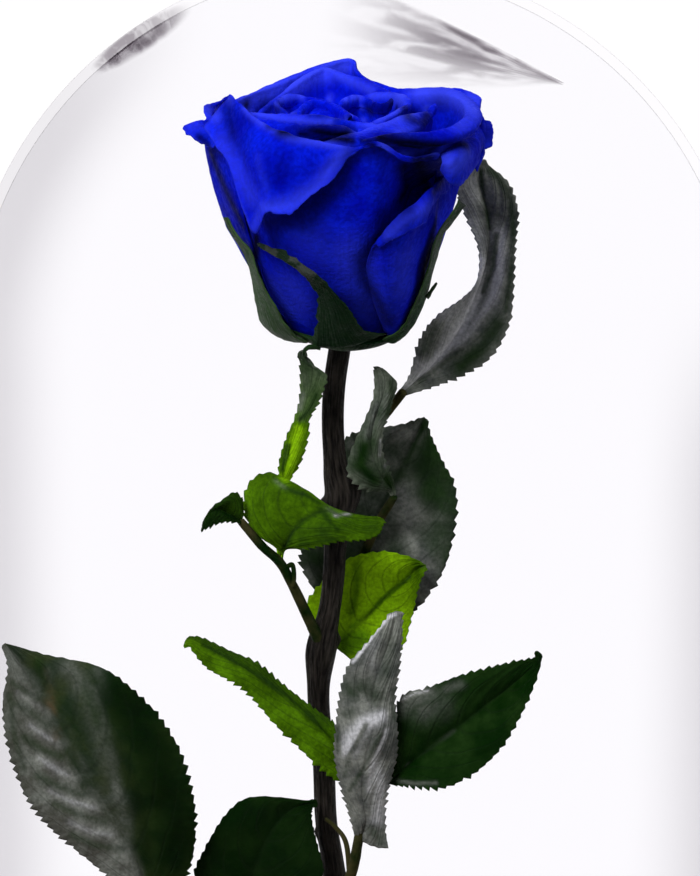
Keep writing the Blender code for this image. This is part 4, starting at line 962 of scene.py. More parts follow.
def stroke_share(points, strokes):
    """How strongly the strokes touch each point, from 0 to 1."""
    flat = points / MM / (1, STROKE_REACH, 1)
    share = np.zeros(points.shape[:2])
    for route, radius, strength in strokes:
        ends = np.array(route) / (1, STROKE_REACH, 1)
        for start, end in zip(ends, [*ends[1:], ends[-1]]):
            way = end - start
            along = np.clip((flat - start) @ way / max(way @ way, 1e-9), 0, 1)
            away = np.linalg.norm(flat - start - along[..., None] * way, axis=-1)
            share = np.maximum(share, strength * np.exp(-(away / radius) ** 2))
    return share


def petal_tone(points, shade_strokes, crests):
    """Painted shade in the hollows and painted highlight on the crests at each point, both from 0 to 1."""
    painted_shade = stroke_share(points, shade_strokes)
    return np.stack([painted_shade, stroke_share(points, crests), 0 * painted_shade], axis=-1)


def bloom_place():
    turn = Matrix.Rotation(TILT_RIGHT, 4, "Y") @ Matrix.Rotation(TILT_FORWARD, 4, "X")
    return Matrix.Translation(Vector(BLOOM_FOOT) * MM) @ turn


def build_bloom(settings):
    parts = MeshParts()
    petals = [(bloom_net(net), FRONT_STEPS if key == "front" else OUTER_STEPS)
              for key, net in OUTER_PETALS.items()]
    petals += [(inner_net(*lines), INNER_STEPS) for lines in INNER_PETALS.values()]
    petals += [(back_net(*petal), BACK_STEPS) for petal in BACK_PETALS]
    surfaces = [petal_surface(net, *steps, number, settings) for number, (net, steps) in enumerate(petals)]
    for points in surfaces:
        parts.add_blade(points, settings.petal_thickness)
    core = turned_grid(spline(CORE, CORE_STEPS[0]) * MM, CORE_STEPS[1]) + (CORE_SHIFT * MM, 0, 0)
    parts.add_grid(core, CORE_PAINTED_SHADE, uv_scale=(1, 0.3))
    mound = turned_grid(spline(MOUND, MOUND_STEPS[0]) * MM, MOUND_STEPS[1]) + np.array(MOUND_CENTRE) * MM
    mound += grid_normals(mound) * (settings.fold_depth * field(mound, 5 * MM, 2.0))[..., None]
    parts.add_grid(mound, uv_scale=(1, 0.3), uv_shift=(0, 0.5))
    shade_strokes, crests = parts.lay(PAINTED_SHADE_STROKES, BLOOM), parts.lay(LIT_CRESTS, BLOOM)
    for number, points in enumerate(surfaces):
        tone = petal_tone(points, shade_strokes, crests)
        parts.paint(number, tone, tone)
    parts.paint(-1, petal_tone(mound, shade_strokes, crests))
    piece = parts.build("rose_bloom", petal_material(settings), "bloom")
    piece.data.transform(bloom_place())


# Calyx


# Sepals that show from the front, as rows of points like the petals'
SEPALS = {
    "left": [
        [(276, 336, 4), (290, 341, -3), (308, 343, -8)],
        [(261, 322, 1), (272, 328, -6), (291, 331, -11)],
        [(254.5, 295, -3), (263, 300, -9), (275, 305.5, -14)],
        [(251, 272, -6), (255, 275, -11), (260, 277, -15)],
        [(243, 252, -9), (247, 252, -12.5), (251, 251, -15)],
        [(231, 233, -10), (235, 235, -12.5), (240, 239, -14)],
        [(223.5, 217.5, -10), (225.5, 217.5, -11.5), (227.5, 217.5, -12)],
    ],
    "front": [
        [(311, 347, -9), (348, 347, -11.5), (386, 334, -10)],
        [(316.5, 325, -14), (340, 328, -16), (364, 330, -15.5)],
        [(318, 303, -18), (334, 308, -19.6), (352, 312, -19.4)],
        [(314, 289, -20.8), (325, 290, -22.2), (337, 295, -22)],
        [(299, 271, -23), (308, 274, -24.3), (318, 275, -24.2)],
        [(280, 258, -21.6), (287, 261, -23.2), (293, 257, -23)],
        [(265, 248.5, -19.5), (268, 251, -21), (271, 246.5, -21)],
        [(257, 243, -17), (258, 244.5, -18), (259.5, 243, -18)],
    ],
    "right": [
        [(382, 340, -9.5), (394, 343, -7), (404, 336, -2)],
        [(402, 327, -12), (409, 328, -8), (415, 321, -2)],
        [(416, 300, -14), (421, 301, -9), (426, 297, -3)],
        [(427, 271, -15), (430.5, 273, -10), (434, 267, -4)],
        [(434.5, 241, -15.5), (438, 241, -12), (442, 237, -8)],
        [(442.5, 226, -15), (446, 227, -12), (450, 224, -9)],
        [(455, 208, -13), (458, 211, -11), (461.5, 210, -9.5)],
        [(458.5, 199, -10), (462, 202, -9), (466, 206, -8)],
    ],
    "needle": [
        [(426, 297, -8), (428, 299, -7), (430, 296, -6)],
        [(430, 291, -9), (431, 292, -8), (432, 290, -7.5)],
        [(436, 283, -9.5), (436.5, 283.5, -9), (437, 283, -9)],
    ],
    "curl": [
        [(322, 344, -9), (321, 347, -9.5), (320, 350, -9)],
        [(311, 345, -10), (310, 347, -10.5), (310, 349, -10)],
        [(304, 349, -10), (304, 351, -10.2), (305, 352, -10)],
        [(302.5, 356, -9), (303, 356.5, -9), (304, 357, -9)],
    ],
}
# How dark and how pale each sepal is, and how grey its tip, in the same order; the last holds for the rest
SEPAL_TONES = [(0, 0.3, 0), (0.75, 0, 0.8), (0.3, 0, 0.3), (0.3, 0.2, 0)]
# Two more sepals that only show from behind: azimuth, length, how far the tip hangs out
BACK_SEPALS = [(128, 27, 6), (-150, 28, 8)]
SEPAL_STEPS = (60, 16)
SEPAL_RIPPLE = 0.15 * MM
# The cup that the sepals grow from, as (radius, height) points
CUP_RADIUS = 11.6
CUP = [(0.01, -3.4), (2.6, -3.4), (5, -2.6), (7.5, -1.6), (10, -0.4), (CUP_RADIUS, 1.2), (10.4, 1.4),
       (8, 0.2), (0.01, 0.1)]
CUP_TONE = (-0.6, 0, 0)
CUP_STEPS = (60, 72)


def back_sepal_net(azimuth, length, hang):
    """Rows of points of a plain sepal that follows the bloom's side, in mm."""
    rows = []
    for share in np.linspace(0, 1, 7):
        r = CUP_RADIUS + 9 * (1 - (1 - share) ** 1.7) + hang * max(0.0, share - 0.4) ** 2 * 2
        half = 5.5 * (1 - share**1.5) + 0.3
        rows.append([
            (r * math.sin(a), -r * math.cos(a), length * share**1.1 - 0.5)
            for a in (math.radians(azimuth) + side * half / r for side in (-1, 0, 1))
        ])
    return rows


def build_calyx(settings):
    parts = MeshParts()
    nets = [bloom_net(rows) for rows in SEPALS.values()]
    for number, net in enumerate([*nets, *(back_sepal_net(*sepal) for sepal in BACK_SEPALS)]):
        points = sheet(net, *SEPAL_STEPS) * MM
        share = np.linspace(0, 1, SEPAL_STEPS[0] + 1)[:, None]
        side = np.linspace(-1, 1, SEPAL_STEPS[1] + 1)[None, :]
        outwards = unit(np.gradient(points, axis=1)) * side[..., None]
        wear = field(points, 1.6 * MM, number) * abs(side) ** 3
        points = points + outwards * (settings.sepal_wear * wear * smoothstep(4 * (1 - share)))[..., None]
        points += grid_normals(points) * (SEPAL_RIPPLE * field(points, 2.5 * MM, number))[..., None]
        dark, pale, grey = SEPAL_TONES[min(number, len(SEPAL_TONES) - 1)]
        tone = np.zeros((*points.shape[:2], 3)) + (-dark, pale, 0)
        tone[..., 2] = grey * smoothstep(6 * (share - 0.45))
        parts.add_blade(points, settings.sepal_thickness, tone)
    cup = turned_grid(spline(CUP, CUP_STEPS[0]) * MM, CUP_STEPS[1])
    parts.add_grid(cup, CUP_TONE, uv_scale=(5, 1))
    piece = parts.build("rose_calyx", sepal_material(settings), "calyx")
    piece.data.transform(bloom_place())


# Stem

STEM_RADIUS = 2.2
STEM_ROUTE = [
    (0, 0, 8.3), (0, 0, 30), (-1, 0, 50), (-2.5, 0, 68), (-4.5, 0, 88), (-6, 0, 98),
    (-6.5, 0, 110.5), (-7.5, 0, 123), (-7, 0, 133), (-5.5, 0, 140), (-4.5, 0, 147),
    (-4, 0, 155.5), (-3, 0, 164), (-4, 0.8, 169.5), (-4.6, 2, 178), (-4.3, 2, 186), (-3.1, 0.6, 194.6),
]
# Height, extra radius and half-length of each swollen joint, where a leaf grows
STEM_JOINTS = [(61, 0.8, 5), (81, 0.7, 5), (133, 0.9, 5), (164, 1.1, 5)]
# Height, azimuth and size of each small bud or old thorn's scar
STEM_BUDS = [(166, 78, 1.3), (163, -85, 1.0), (136, 95, 0.9), (84, 60, 0.9), (112, 30, 0.5), (148, -60, 0.5),
             (96, -100, 0.6), (178, 140, 0.5), (52, -40, 0.6), (38, 70, 0.5)]
# The grooves' pattern: how far it varies round the stem, and the height over which it repeats a feature
GROOVES_ROUND = 2.2
GROOVE_LENGTH = 22
STEM_STEPS = (460, 48)


def build_stem(settings):
    steps, sides = STEM_STEPS
    route = smooth_route(STEM_ROUTE, steps)
    height = route[:, 2]
    swell = [extra * np.exp(-(((height - at) / half) ** 2)) for at, extra, half in STEM_JOINTS]
    radius = STEM_RADIUS + sum(swell)
    turn = np.linspace(0, 2 * math.pi, sides + 1)
    level = height[:, None] / GROOVE_LENGTH
    round_stem = [GROOVES_ROUND * np.cos(turn), GROOVES_ROUND * np.sin(turn)]
    place = np.stack(np.broadcast_arrays(*round_stem, level), axis=-1)
    relief = -settings.groove_depth / MM * np.maximum(0, field(place, 1.0, 3.0, 3) + 0.1)
    # The tube's first side faces -Y, and its turn runs towards +X
    for at, azimuth, size in STEM_BUDS:
        away = np.angle(np.exp(1j * (turn - math.radians(azimuth))))[None, :] * STEM_RADIUS
        rise = (height - at)[:, None]
        near = np.exp(-(away**2 + np.where(rise > 0, rise, 0.5 * rise) ** 2) / size**2)
        relief = relief + 0.9 * size * near
    grid = tube_grid(route, radius, sides, relief) * MM
    piece = build_surface(grid, "rose_stem", bark_material(settings), "stem")


# Leaves


class Leaflet(NamedTuple):
    """One toothed leaflet, as rows from its base to its tip.

    A row holds where the photo shows its left edge, midrib and right edge, and their depths in mm.
    backlit and silver_and_sheen are shares at the left half's base and tip and the right half's base and tip.
    backlit paints light shining through the leaf; silver_and_sheen above 1 paints a white sheen.
    """

    rows: list
    backlit: tuple = (0, 0, 0, 0)
    silver_and_sheen: tuple = (0, 0, 0, 0)
    dry: float = 0.0


# Each leaf's stalks, as a route and the radius at each end
STALKS = {
    "leaf_left": [
        ([(-6.2, -0.5, 132.5), (-10, -4, 141.5), (-12.5, -7, 147.5), (-15, -9, 152.5), (-18.5, -10, 156),
          (-22.5, -11, 161)], 1.2, 0.8),
        ([(-14.2, -8.6, 151), (-12.6, -8.8, 152), (-12.2, -8.6, 149.5), (-12.4, -8.2, 147.6)], 0.5, 0.4),
    ],
    "leaf_right": [
        ([(-2, 1, 162.5), (0.5, 4, 170), (3, 6, 176), (6.5, 6, 180.5), (9.3, 4, 184.4)], 1.2, 0.9),
    ],
    "leaf_back": [
        ([(-6.2, 1.5, 131.5), (-4.4, 6, 134.5), (-1.5, 11, 142), (1.5, 11.3, 150), (4.5, 7.5, 157.5),
          (7.5, 2, 163.6)], 1.2, 0.8),
        ([(-5.2, 3, 133.6), (-3.8, 7, 135), (-2.6, 9.2, 137)], 0.9, 0.7),
    ],
    "leaf_front": [
        ([(-4.6, -0.5, 79.5), (-1, -6, 88.5), (0.5, -9, 96.5), (2, -10, 105), (3.2, -10, 109)], 1.2, 0.9),
        ([(-1.2, -5.4, 88), (-2, -6.2, 95), (-4, -5.6, 98), (-6, -4.6, 99.5)], 0.6, 0.4),
    ],
    "leaf_low": [
        ([(-1.8, -0.5, 59.5), (-11.5, -3, 64.5), (-24, -8, 72), (-34, -13, 79),
          (-40.8, -16, 85.5)], 1.2, 0.9),
    ],
}
# Each leaf's leaflets, read from the photo
LEAFLETS = {
    "leaf_left": [
        Leaflet([
            ((279, 562), (280, 562), (281, 562), (-9, -9, -9)),
            ((279, 550), (283, 552), (286, 549), (-9, -9, -9)),
            ((256, 532), (288, 540), (300, 548), (-9, -11.5, -12)),
            ((245, 507), (297, 526), (318, 545), (-8, -13, -14)),
            ((252, 482), (310, 516), (335, 541), (-8, -14, -15)),
            ((272, 474), (325, 511), (350, 540), (-8.5, -14.5, -15.5)),
            ((300, 490), (340, 515), (366, 539), (-10.5, -15, -16)),
            ((330, 508), (355, 518), (378, 533), (-13, -15.5, -16)),
            ((365, 516), (372, 519), (382, 524), (-15, -15.5, -16)),
            ((382, 518), (384, 519), (385, 521), (-15.5, -15.5, -15.5)),
        ], backlit=(0.95, 0.75, 0.8, 0.7)),
        Leaflet([
            ((279, 561), (280, 562), (281, 561), (-8.6, -8.6, -8.6)),
            ((277, 522), (278, 522), (279, 522), (-6.5, -6.5, -6.5)),
            ((280, 484), (283, 485), (287, 485), (-7.5, -7.5, -7.5)),
            ((281, 462), (287, 462), (299, 462), (-7, -8, -7)),
            ((287, 440), (294, 440), (306, 440), (-6, -7, -6)),
            ((296, 418), (301, 420), (309, 418), (-5.5, -6.5, -6)),
            ((300, 398), (306, 402), (317, 404), (-5, -6, -6.5)),
            ((301, 376), (312, 382), (323, 388), (-5, -6, -7)),
            ((302, 359), (312, 364), (325, 374), (-5.5, -6.5, -7)),
            ((301, 354), (303, 354), (308, 360), (-6, -6.5, -7)),
            ((304, 350), (305, 349), (306, 351), (-6.5, -6.5, -6.5)),
        ], backlit=(2, 0, 2, 0), silver_and_sheen=(0, 0.4, 0, 0.45)),
        Leaflet([
            ((240, 522), (240, 520), (240, 518), (-11, -11, -11)),
            ((230, 521), (231, 515), (239, 500), (-13, -12.5, -10)),
            ((222, 521), (221, 510), (230, 494), (-15, -14, -12)),
            ((213, 524), (213, 510), (216, 504), (-17, -16.5, -15)),
            ((206, 527), (207, 519), (209, 513), (-18.5, -18, -17.5)),
            ((202, 530), (202, 528), (203, 526), (-19, -19, -19)),
        ], backlit=(0.1, 0, 0.3, 0)),
    ],
    "leaf_right": [
        Leaflet([
            ((401, 391), (403, 392), (405, 394), (4.2, 4.2, 4.2)),
            ((412, 374), (424, 374), (432, 386), (5, 7, 6)),
            ((421, 342), (442, 354), (462, 375), (6, 9, 8)),
            ((436, 318), (460, 328), (490, 356), (7, 10, 9)),
            ((462, 299), (474, 298), (508, 322), (9, 12.5, 11)),
            ((477, 280), (484, 268), (512, 285), (12, 15, 13)),
            ((479, 245), (489, 240), (514, 248), (15, 18, 16)),
            ((466, 212), (487, 212), (517, 212), (18, 21, 20)),
            ((458, 186), (479, 184), (507, 184), (21, 23, 23)),
            ((474, 168), (480, 168), (490, 167), (23, 24, 25)),
            ((483, 161), (484, 160), (486, 161), (24, 24, 25)),
        ], silver_and_sheen=(1.4, 1.3, 0.8, 1.1)),
    ],
    "leaf_back": [
        Leaflet([
            ((392, 496), (394, 497), (395, 495), (2, 2, 2)),
            ((387, 490), (391, 488), (393, 484), (1, 1, 1)),
            ((366, 489), (380, 473), (389, 471), (-3, -2.5, -1)),
            ((350, 474), (372, 452), (381, 452), (-4.5, -4, -2.5)),
            ((352, 452), (372, 434), (381, 432), (-4.5, -4, -2.5)),
            ((363, 424), (376, 414), (387, 416), (-3, -3, -1.5)),
            ((375, 396), (383, 396), (392, 398), (-2, -2.5, -1)),
            ((375, 374), (385, 379), (396, 383), (-1, -1.5, 0)),
            ((376, 367), (379, 367), (384, 370), (0, 0, 0)),
        ], silver_and_sheen=(0.9, 1, 0.6, 0.7), backlit=(0.15, 0.15, 0.12, 0.1)),
        Leaflet([
            ((329, 643), (331, 644), (333, 646), (3.5, 3.5, 3.5)),
            ((311, 632), (345, 638), (358, 660), (5, 6, 5)),
            ((305, 610), (358, 625), (385, 661), (6, 8, 7)),
            ((320, 586), (373, 610), (402, 645), (7, 9.5, 8)),
            ((348, 561), (388, 594), (411, 615), (8.5, 10, 8.5)),
            ((383, 553), (404, 580), (417, 588), (9, 10, 8.5)),
            ((410, 558), (418, 569), (423, 573), (9, 9.5, 8.5)),
            ((424, 564), (426, 565), (427, 567), (9, 9, 9)),
        ], backlit=(1.7, 2, 1.7, 2)),
        Leaflet([
            ((341, 620), (343, 621), (345, 623), (9.3, 9.3, 9.3)),
            ((303, 568), (336, 574), (366, 622), (12, 12.5, 13)),
            ((308, 540), (352, 550), (410, 612), (13, 14, 14)),
            ((325, 500), (370, 525), (440, 574), (13, 15, 14)),
            ((338, 465), (386, 498), (453, 530), (13, 16, 14)),
            ((348, 438), (398, 475), (454, 488), (13, 16, 14)),
            ((375, 430), (409, 450), (440, 458), (13, 15, 13)),
            ((408, 423), (418, 431), (429, 434), (13, 14, 13)),
            ((422, 418), (424, 417), (426, 419), (13, 13, 13)),
        ], silver_and_sheen=(0.15, 0.35, 0.1, 0.05)),
    ],
    "leaf_front": [
        Leaflet([
            ((357, 838), (359, 840), (388, 846), (-9, -9, -10)),
            ((352, 820), (366, 822), (384, 824), (-11, -12, -11)),
            ((343, 790), (362, 792), (386, 792), (-13, -15, -13)),
            ((336, 755), (366, 758), (395, 758), (-15, -18, -14)),
            ((338, 722), (374, 728), (396, 728), (-17, -19.5, -16)),
            ((342, 695), (372, 700), (394, 698), (-19, -19, -17)),
            ((350, 665), (378, 672), (398, 668), (-20, -19, -18)),
            ((370, 640), (388, 645), (400, 642), (-20, -19, -18)),
            ((386, 620), (394, 622), (401, 620), (-19.5, -19, -18.5)),
            ((391, 613), (396, 611), (401, 612), (-19, -19, -19)),
        ], silver_and_sheen=(1.1, 0.95, 1, 0.9)),
        Leaflet([
            ((372, 777), (372, 779), (372, 781), (-10, -10, -10)),
            ((391, 776), (390, 780), (392, 783), (-10, -10, -10)),
            ((394, 735), (412, 762), (415, 786), (-12, -10, -12)),
            ((402, 698), (435, 745), (442, 786), (-13, -9.5, -12.5)),
            ((432, 688), (460, 726), (472, 773), (-12.5, -9, -12)),
            ((466, 675), (485, 706), (500, 748), (-11, -8, -11)),
            ((500, 666), (508, 688), (520, 713), (-9, -7, -9.5)),
            ((526, 661), (528, 670), (534, 683), (-7.5, -6.5, -8)),
            ((536, 659), (538, 659), (540, 663), (-6.5, -6.5, -6.5)),
            ((536, 652), (538, 651), (541, 655), (-7, -7, -7)),
        ]),
        Leaflet([
            ((373, 785), (373, 783), (373, 781), (-10.2, -10.2, -10.2)),
            ((345, 782), (347, 768), (345, 760), (-10, -9.5, -9)),
            ((318, 765), (334, 742), (333, 727), (-12, -10, -8.5)),
            ((285, 733), (306, 716), (308, 706), (-14, -11, -9)),
            ((258, 703), (277, 692), (281, 684), (-15, -12, -10)),
            ((235, 683), (250, 672), (254, 664), (-15.5, -13, -11)),
            ((212, 669), (222, 656), (226, 650), (-15.5, -14, -12)),
            ((200, 656), (203, 645), (206, 640), (-15.5, -14.5, -13)),
            ((191, 645), (192, 640), (194, 637), (-15.5, -15, -14)),
            ((184, 645), (185, 641), (187, 638), (-16, -15.5, -15)),
        ], backlit=(1.05, 0.9, 0.7, 0.4)),
    ],
    "leaf_low": [
        Leaflet([
            ((147, 901), (150, 902), (153, 902), (-16, -16, -16)),
            ((112, 878), (138, 862), (184, 876), (-19, -18, -20)),
            ((78, 850), (116, 828), (194, 835), (-21, -19, -22)),
            ((45, 820), (92, 792), (190, 788), (-22, -20, -24)),
            ((22, 785), (70, 755), (172, 738), (-22.5, -20.5, -24)),
            ((8, 742), (50, 718), (140, 698), (-22, -20, -23)),
            ((4, 702), (32, 684), (100, 668), (-20.5, -19, -21)),
            ((9, 668), (18, 660), (45, 655), (-18.5, -18, -18.5)),
            ((3, 645), (5, 643), (9, 645), (-17, -17, -17)),
        ], silver_and_sheen=(0.95, 0.6, 0, 0.1), dry=0.1),
        Leaflet([
            ((237, 958), (239, 959), (241, 959), (-7.8, -7.8, -7.8)),
            ((205, 915), (243, 915), (280, 925), (-11, -9.5, -11)),
            ((195, 878), (252, 880), (312, 900), (-13, -11, -12)),
            ((207, 848), (262, 850), (322, 872), (-14, -11.5, -11.5)),
            ((224, 818), (275, 826), (316, 845), (-14, -11, -11)),
            ((246, 799), (290, 810), (311, 823), (-12.5, -10, -10)),
            ((278, 798), (303, 805), (310, 811), (-10.5, -9, -9.5)),
            ((304, 801), (313, 803), (312, 807), (-9, -8.5, -9)),
            ((317, 801), (318, 803), (318, 804), (-8.5, -8.5, -8.5)),
        ], backlit=(-0.5, -0.4, -0.7, -0.5)),
        Leaflet([
            ((241, 959), (238, 957), (236, 955), (-8, -8, -8)),
            ((258, 985), (232, 985), (206, 975), (-12, -11.5, -13)),
            ((256, 1020), (222, 1022), (184, 1008), (-15, -14, -16)),
            ((238, 1062), (206, 1062), (176, 1050), (-17.5, -17, -18)),
            ((208, 1090), (195, 1088), (180, 1082), (-19.5, -19.5, -19.5)),
            ((190, 1102), (189, 1101), (188, 1100), (-20, -20, -20)),
        ]),
    ],
}
# Strokes on each leaf, as points on the photo in pixels, a radius in mm and a strength
LEAF_STROKES = {
    ("leaf_right", "painted_sheen"): [
        ([(482, 262), (480, 288), (467, 318), (448, 348), (426, 374)], 1.2, 0.8),
        ([(500, 235), (500, 270), (492, 300), (476, 326), (458, 346)], 1.6, 0.55),
    ],
    ("leaf_right", "silver_and_sheen"): [
        ([(488, 185), (495, 225), (503, 262), (500, 290), (480, 315), (455, 345)], 0.8, 0.5),
        ([(478, 205), (487, 235), (486, 262)], 0.8, 0.6),
        ([(505, 215), (508, 262), (507, 290)], 0.7, 0.45),
        ([(463, 195), (470, 212)], 1.2, 0.3),
    ],
    ("leaf_right", "dark"): [
        ([(481, 172), (484, 196), (489, 228)], 0.6, 0.9),
        ([(497, 235), (493, 268), (484, 292)], 0.5, 0.6),
        ([(434, 328), (425, 350)], 1.6, 0.7),
        ([(510, 190), (513, 230), (510, 280), (505, 310)], 0.8, 0.7),
        ([(490, 170), (500, 180), (508, 196)], 1.2, 0.8),
        ([(498, 325), (480, 350), (462, 366)], 2.2, 0.9),
        ([(462, 350), (440, 366), (420, 382)], 0.6, 0.6),
    ],
    ("leaf_left", "silver_and_sheen"): [
        ([(304, 375), (306, 385)], 1.2, 0.3),
        ([(276, 481), (284, 487)], 0.6, 0.6),
        ([(328, 509), (336, 514)], 0.6, 0.5),
    ],
    ("leaf_left", "dark"): [
        ([(304, 358), (311, 385), (307, 410)], 1.8, 0.5),
        ([(317, 395), (309, 410), (300, 420)], 0.6, 0.9),
        ([(282, 470), (288, 446)], 0.45, 0.8),
        ([(288, 490), (305, 495), (322, 504)], 0.5, 0.8),
        ([(285, 547), (293, 532), (305, 520), (322, 512)], 0.45, 0.85),
        ([(350, 527), (362, 530), (374, 528)], 1, 0.5),
        ([(300, 545), (320, 541), (345, 537)], 0.6, 0.6),
        ([(305, 535), (335, 528), (365, 524)], 2, 0.5),
        ([(320, 508), (330, 522), (338, 530)], 0.8, 0.8),
        ([(213, 509), (222, 513), (236, 518)], 0.6, 0.9),
        ([(208, 523), (220, 520)], 1, 0.5),
    ],
    ("leaf_left", "lit"): [
        ([(285, 478), (292, 452), (299, 430)], 1.3, 1),
    ],
    ("leaf_left", "painted_sheen"): [
        ([(335, 516), (350, 514)], 0.3, 1),
        ([(303, 395), (300, 408)], 0.7, 0.5),
        ([(284, 478), (289, 455)], 0.35, 0.4),
    ],
    ("leaf_back", "silver_and_sheen"): [
        ([(380, 382), (380, 400), (373, 416)], 1, 0.6),
        ([(386, 395), (380, 425)], 0.6, 0.6),
        ([(387, 438), (400, 434), (412, 432)], 2.5, 0.5),
        ([(387, 458), (397, 465)], 2, 0.4),
        ([(351, 444), (353, 450)], 1, 0.5),
        ([(364, 500), (374, 505)], 1.5, 0.4),
        ([(390, 508), (385, 535), (375, 548)], 2, 0.45),
        ([(400, 495), (412, 520), (425, 555), (428, 590)], 4, 0.5),
        ([(395, 435), (405, 450)], 2, 0.4),
        ([(400, 525), (440, 518)], 1.5, 0.3),
        ([(428, 585), (421, 598)], 1.5, 0.5),
        ([(306, 572), (312, 583)], 1, 0.7),
    ],
    ("leaf_back", "dark"): [
        ([(379, 382), (378, 410), (370, 440)], 2.2, 0.45),
        ([(364, 447), (360, 465), (374, 480)], 3, 1),
        ([(386, 478), (390, 486)], 1.5, 1),
        ([(390, 382), (392, 395), (388, 412)], 0.9, 0.8),
        ([(424, 425), (412, 450), (398, 480), (383, 506)], 0.6, 0.9),
        ([(430, 445), (425, 470), (432, 500)], 2.2, 0.6),
        ([(420, 530), (435, 550)], 2, 0.5),
        ([(312, 552), (318, 562)], 1.5, 0.6),
        ([(352, 628), (368, 613), (388, 595), (410, 577)], 0.4, 0.8),
        ([(346, 645), (360, 641)], 2.2, 0.6),
        ([(357, 565), (356, 590), (352, 612)], 1, 0.35),
    ],
    ("leaf_back", "painted_sheen"): [
        ([(400, 495), (410, 515), (422, 550), (428, 588)], 2.6, 0.35),
        ([(395, 430), (412, 436)], 1.5, 0.25),
        ([(376, 405), (372, 425), (366, 440)], 0.7, 0.45),
        ([(380, 440), (380, 455)], 0.35, 0.9),
        ([(385, 466)], 0.4, 0.9),
    ],
    ("leaf_front", "silver_and_sheen"): [
        ([(404, 706), (416, 698), (430, 695)], 2, 0.45),
        ([(425, 712), (440, 705)], 2.5, 0.4),
        ([(445, 690), (460, 684)], 1, 0.35),
        ([(398, 781), (415, 784), (436, 783)], 0.4, 0.4),
        ([(404, 766), (430, 748), (455, 730)], 0.15, 0.25),
    ],
    ("leaf_front", "dark"): [
        ([(346, 715), (352, 712)], 1, 0.5),
        ([(394, 690), (392, 705), (394, 718)], 0.6, 0.5),
        ([(352, 690), (365, 688), (376, 696)], 2, 0.75),
        ([(380, 735), (362, 770), (350, 790)], 0.5, 0.6),
        ([(366, 725), (350, 755), (345, 775)], 0.5, 0.45),
        ([(390, 640), (386, 670), (380, 700)], 1.2, 0.35),
        ([(338, 728), (338, 752)], 0.5, 0.7),
        ([(372, 830), (380, 841)], 1, 0.5),
        ([(330, 737), (308, 714), (284, 694), (256, 674), (228, 658), (202, 645)], 0.5, 0.7),
    ],
    ("leaf_front", "painted_sheen"): [
        ([(396, 614), (388, 618), (377, 631), (365, 647), (353, 662)], 0.4, 1),
        ([(348, 750), (352, 738), (364, 724), (380, 716)], 1.8, 0.75),
        ([(374, 765), (380, 790), (378, 820)], 1.8, 0.5),
        ([(374, 640), (372, 665)], 1.5, 0.25),
        ([(386, 730), (373, 760), (369, 790)], 0.8, 0.5),
        ([(353, 686), (372, 708)], 0.3, 0.6),
        ([(401, 700), (413, 694), (428, 691)], 0.4, 0.8),
    ],
    ("leaf_low", "silver_and_sheen"): [
        ([(72, 670), (92, 700), (106, 742), (116, 790), (128, 830)], 2, 0.45),
        ([(98, 672), (112, 700)], 1.2, 0.35),
    ],
    ("leaf_low", "dark"): [
        ([(38, 664), (55, 700), (66, 740), (84, 785)], 1.3, 0.7),
        ([(84, 682), (100, 730)], 1, 0.5),
        ([(120, 692), (150, 740), (172, 800), (176, 850)], 6, 0.9),
        ([(66, 700), (80, 745), (96, 785)], 0.8, 0.5),
        ([(62, 757), (42, 750), (24, 738)], 0.9, 0.6),
        ([(48, 727), (30, 712), (14, 703)], 0.8, 0.5),
        ([(84, 795), (60, 788), (38, 776)], 0.9, 0.6),
        ([(104, 822), (80, 815), (54, 804)], 0.8, 0.5),
        ([(36, 700), (22, 690), (12, 683)], 0.6, 0.5),
        ([(122, 850), (95, 845), (72, 835)], 0.8, 0.5),
        ([(10, 695), (13, 730), (24, 768)], 0.8, 0.5),
    ],
    ("leaf_low", "painted_sheen"): [
        ([(64, 745), (48, 738), (30, 725)], 0.8, 0.5),
        ([(78, 778), (60, 772), (40, 758)], 0.9, 0.5),
        ([(96, 808), (75, 803), (50, 790)], 0.9, 0.5),
        ([(112, 835), (90, 832), (70, 822)], 0.9, 0.4),
        ([(50, 715), (34, 703), (18, 692)], 0.6, 0.35),
        ([(96, 690), (110, 735), (120, 790)], 0.7, 0.2),
    ],
    ("leaf_low", "shade"): [
        ([(125, 700), (155, 750), (178, 820), (178, 860)], 6, 0.75),
        ([(118, 740), (140, 800), (150, 860)], 3, 0.5),
        ([(215, 860), (250, 810), (290, 805)], 1.5, 0.3),
    ],
    ("leaf_low", "dry"): [
        ([(47, 672), (52, 700), (58, 735)], 0.8, 0.9),
    ],
}
TOOTH_LENGTH = 1.8
ROWS_PER_TOOTH = 5
LEAF_COLUMNS = 44
VEIN_PAIRS = 7
# How far a blade reaches past its guiding lines, and how far each half swells, as a share of its width
LEAF_MARGIN = 0.3
HALF_BELLY = 0.1
# Half-width and depth of the groove along the midrib
RIB_WIDTH = 0.5
RIB_DEPTH = 0.3
# Least share of silver on a leaflet's underside, and the tone of the stalks
PALE_BACK = 0.55
STALK_TONE = (-0.3, 0, 0.25)
STALK_STEPS = (60, 20)
# Steps along a leaflet's guiding lines before its rows are spread evenly
GUIDE_STEPS = 400


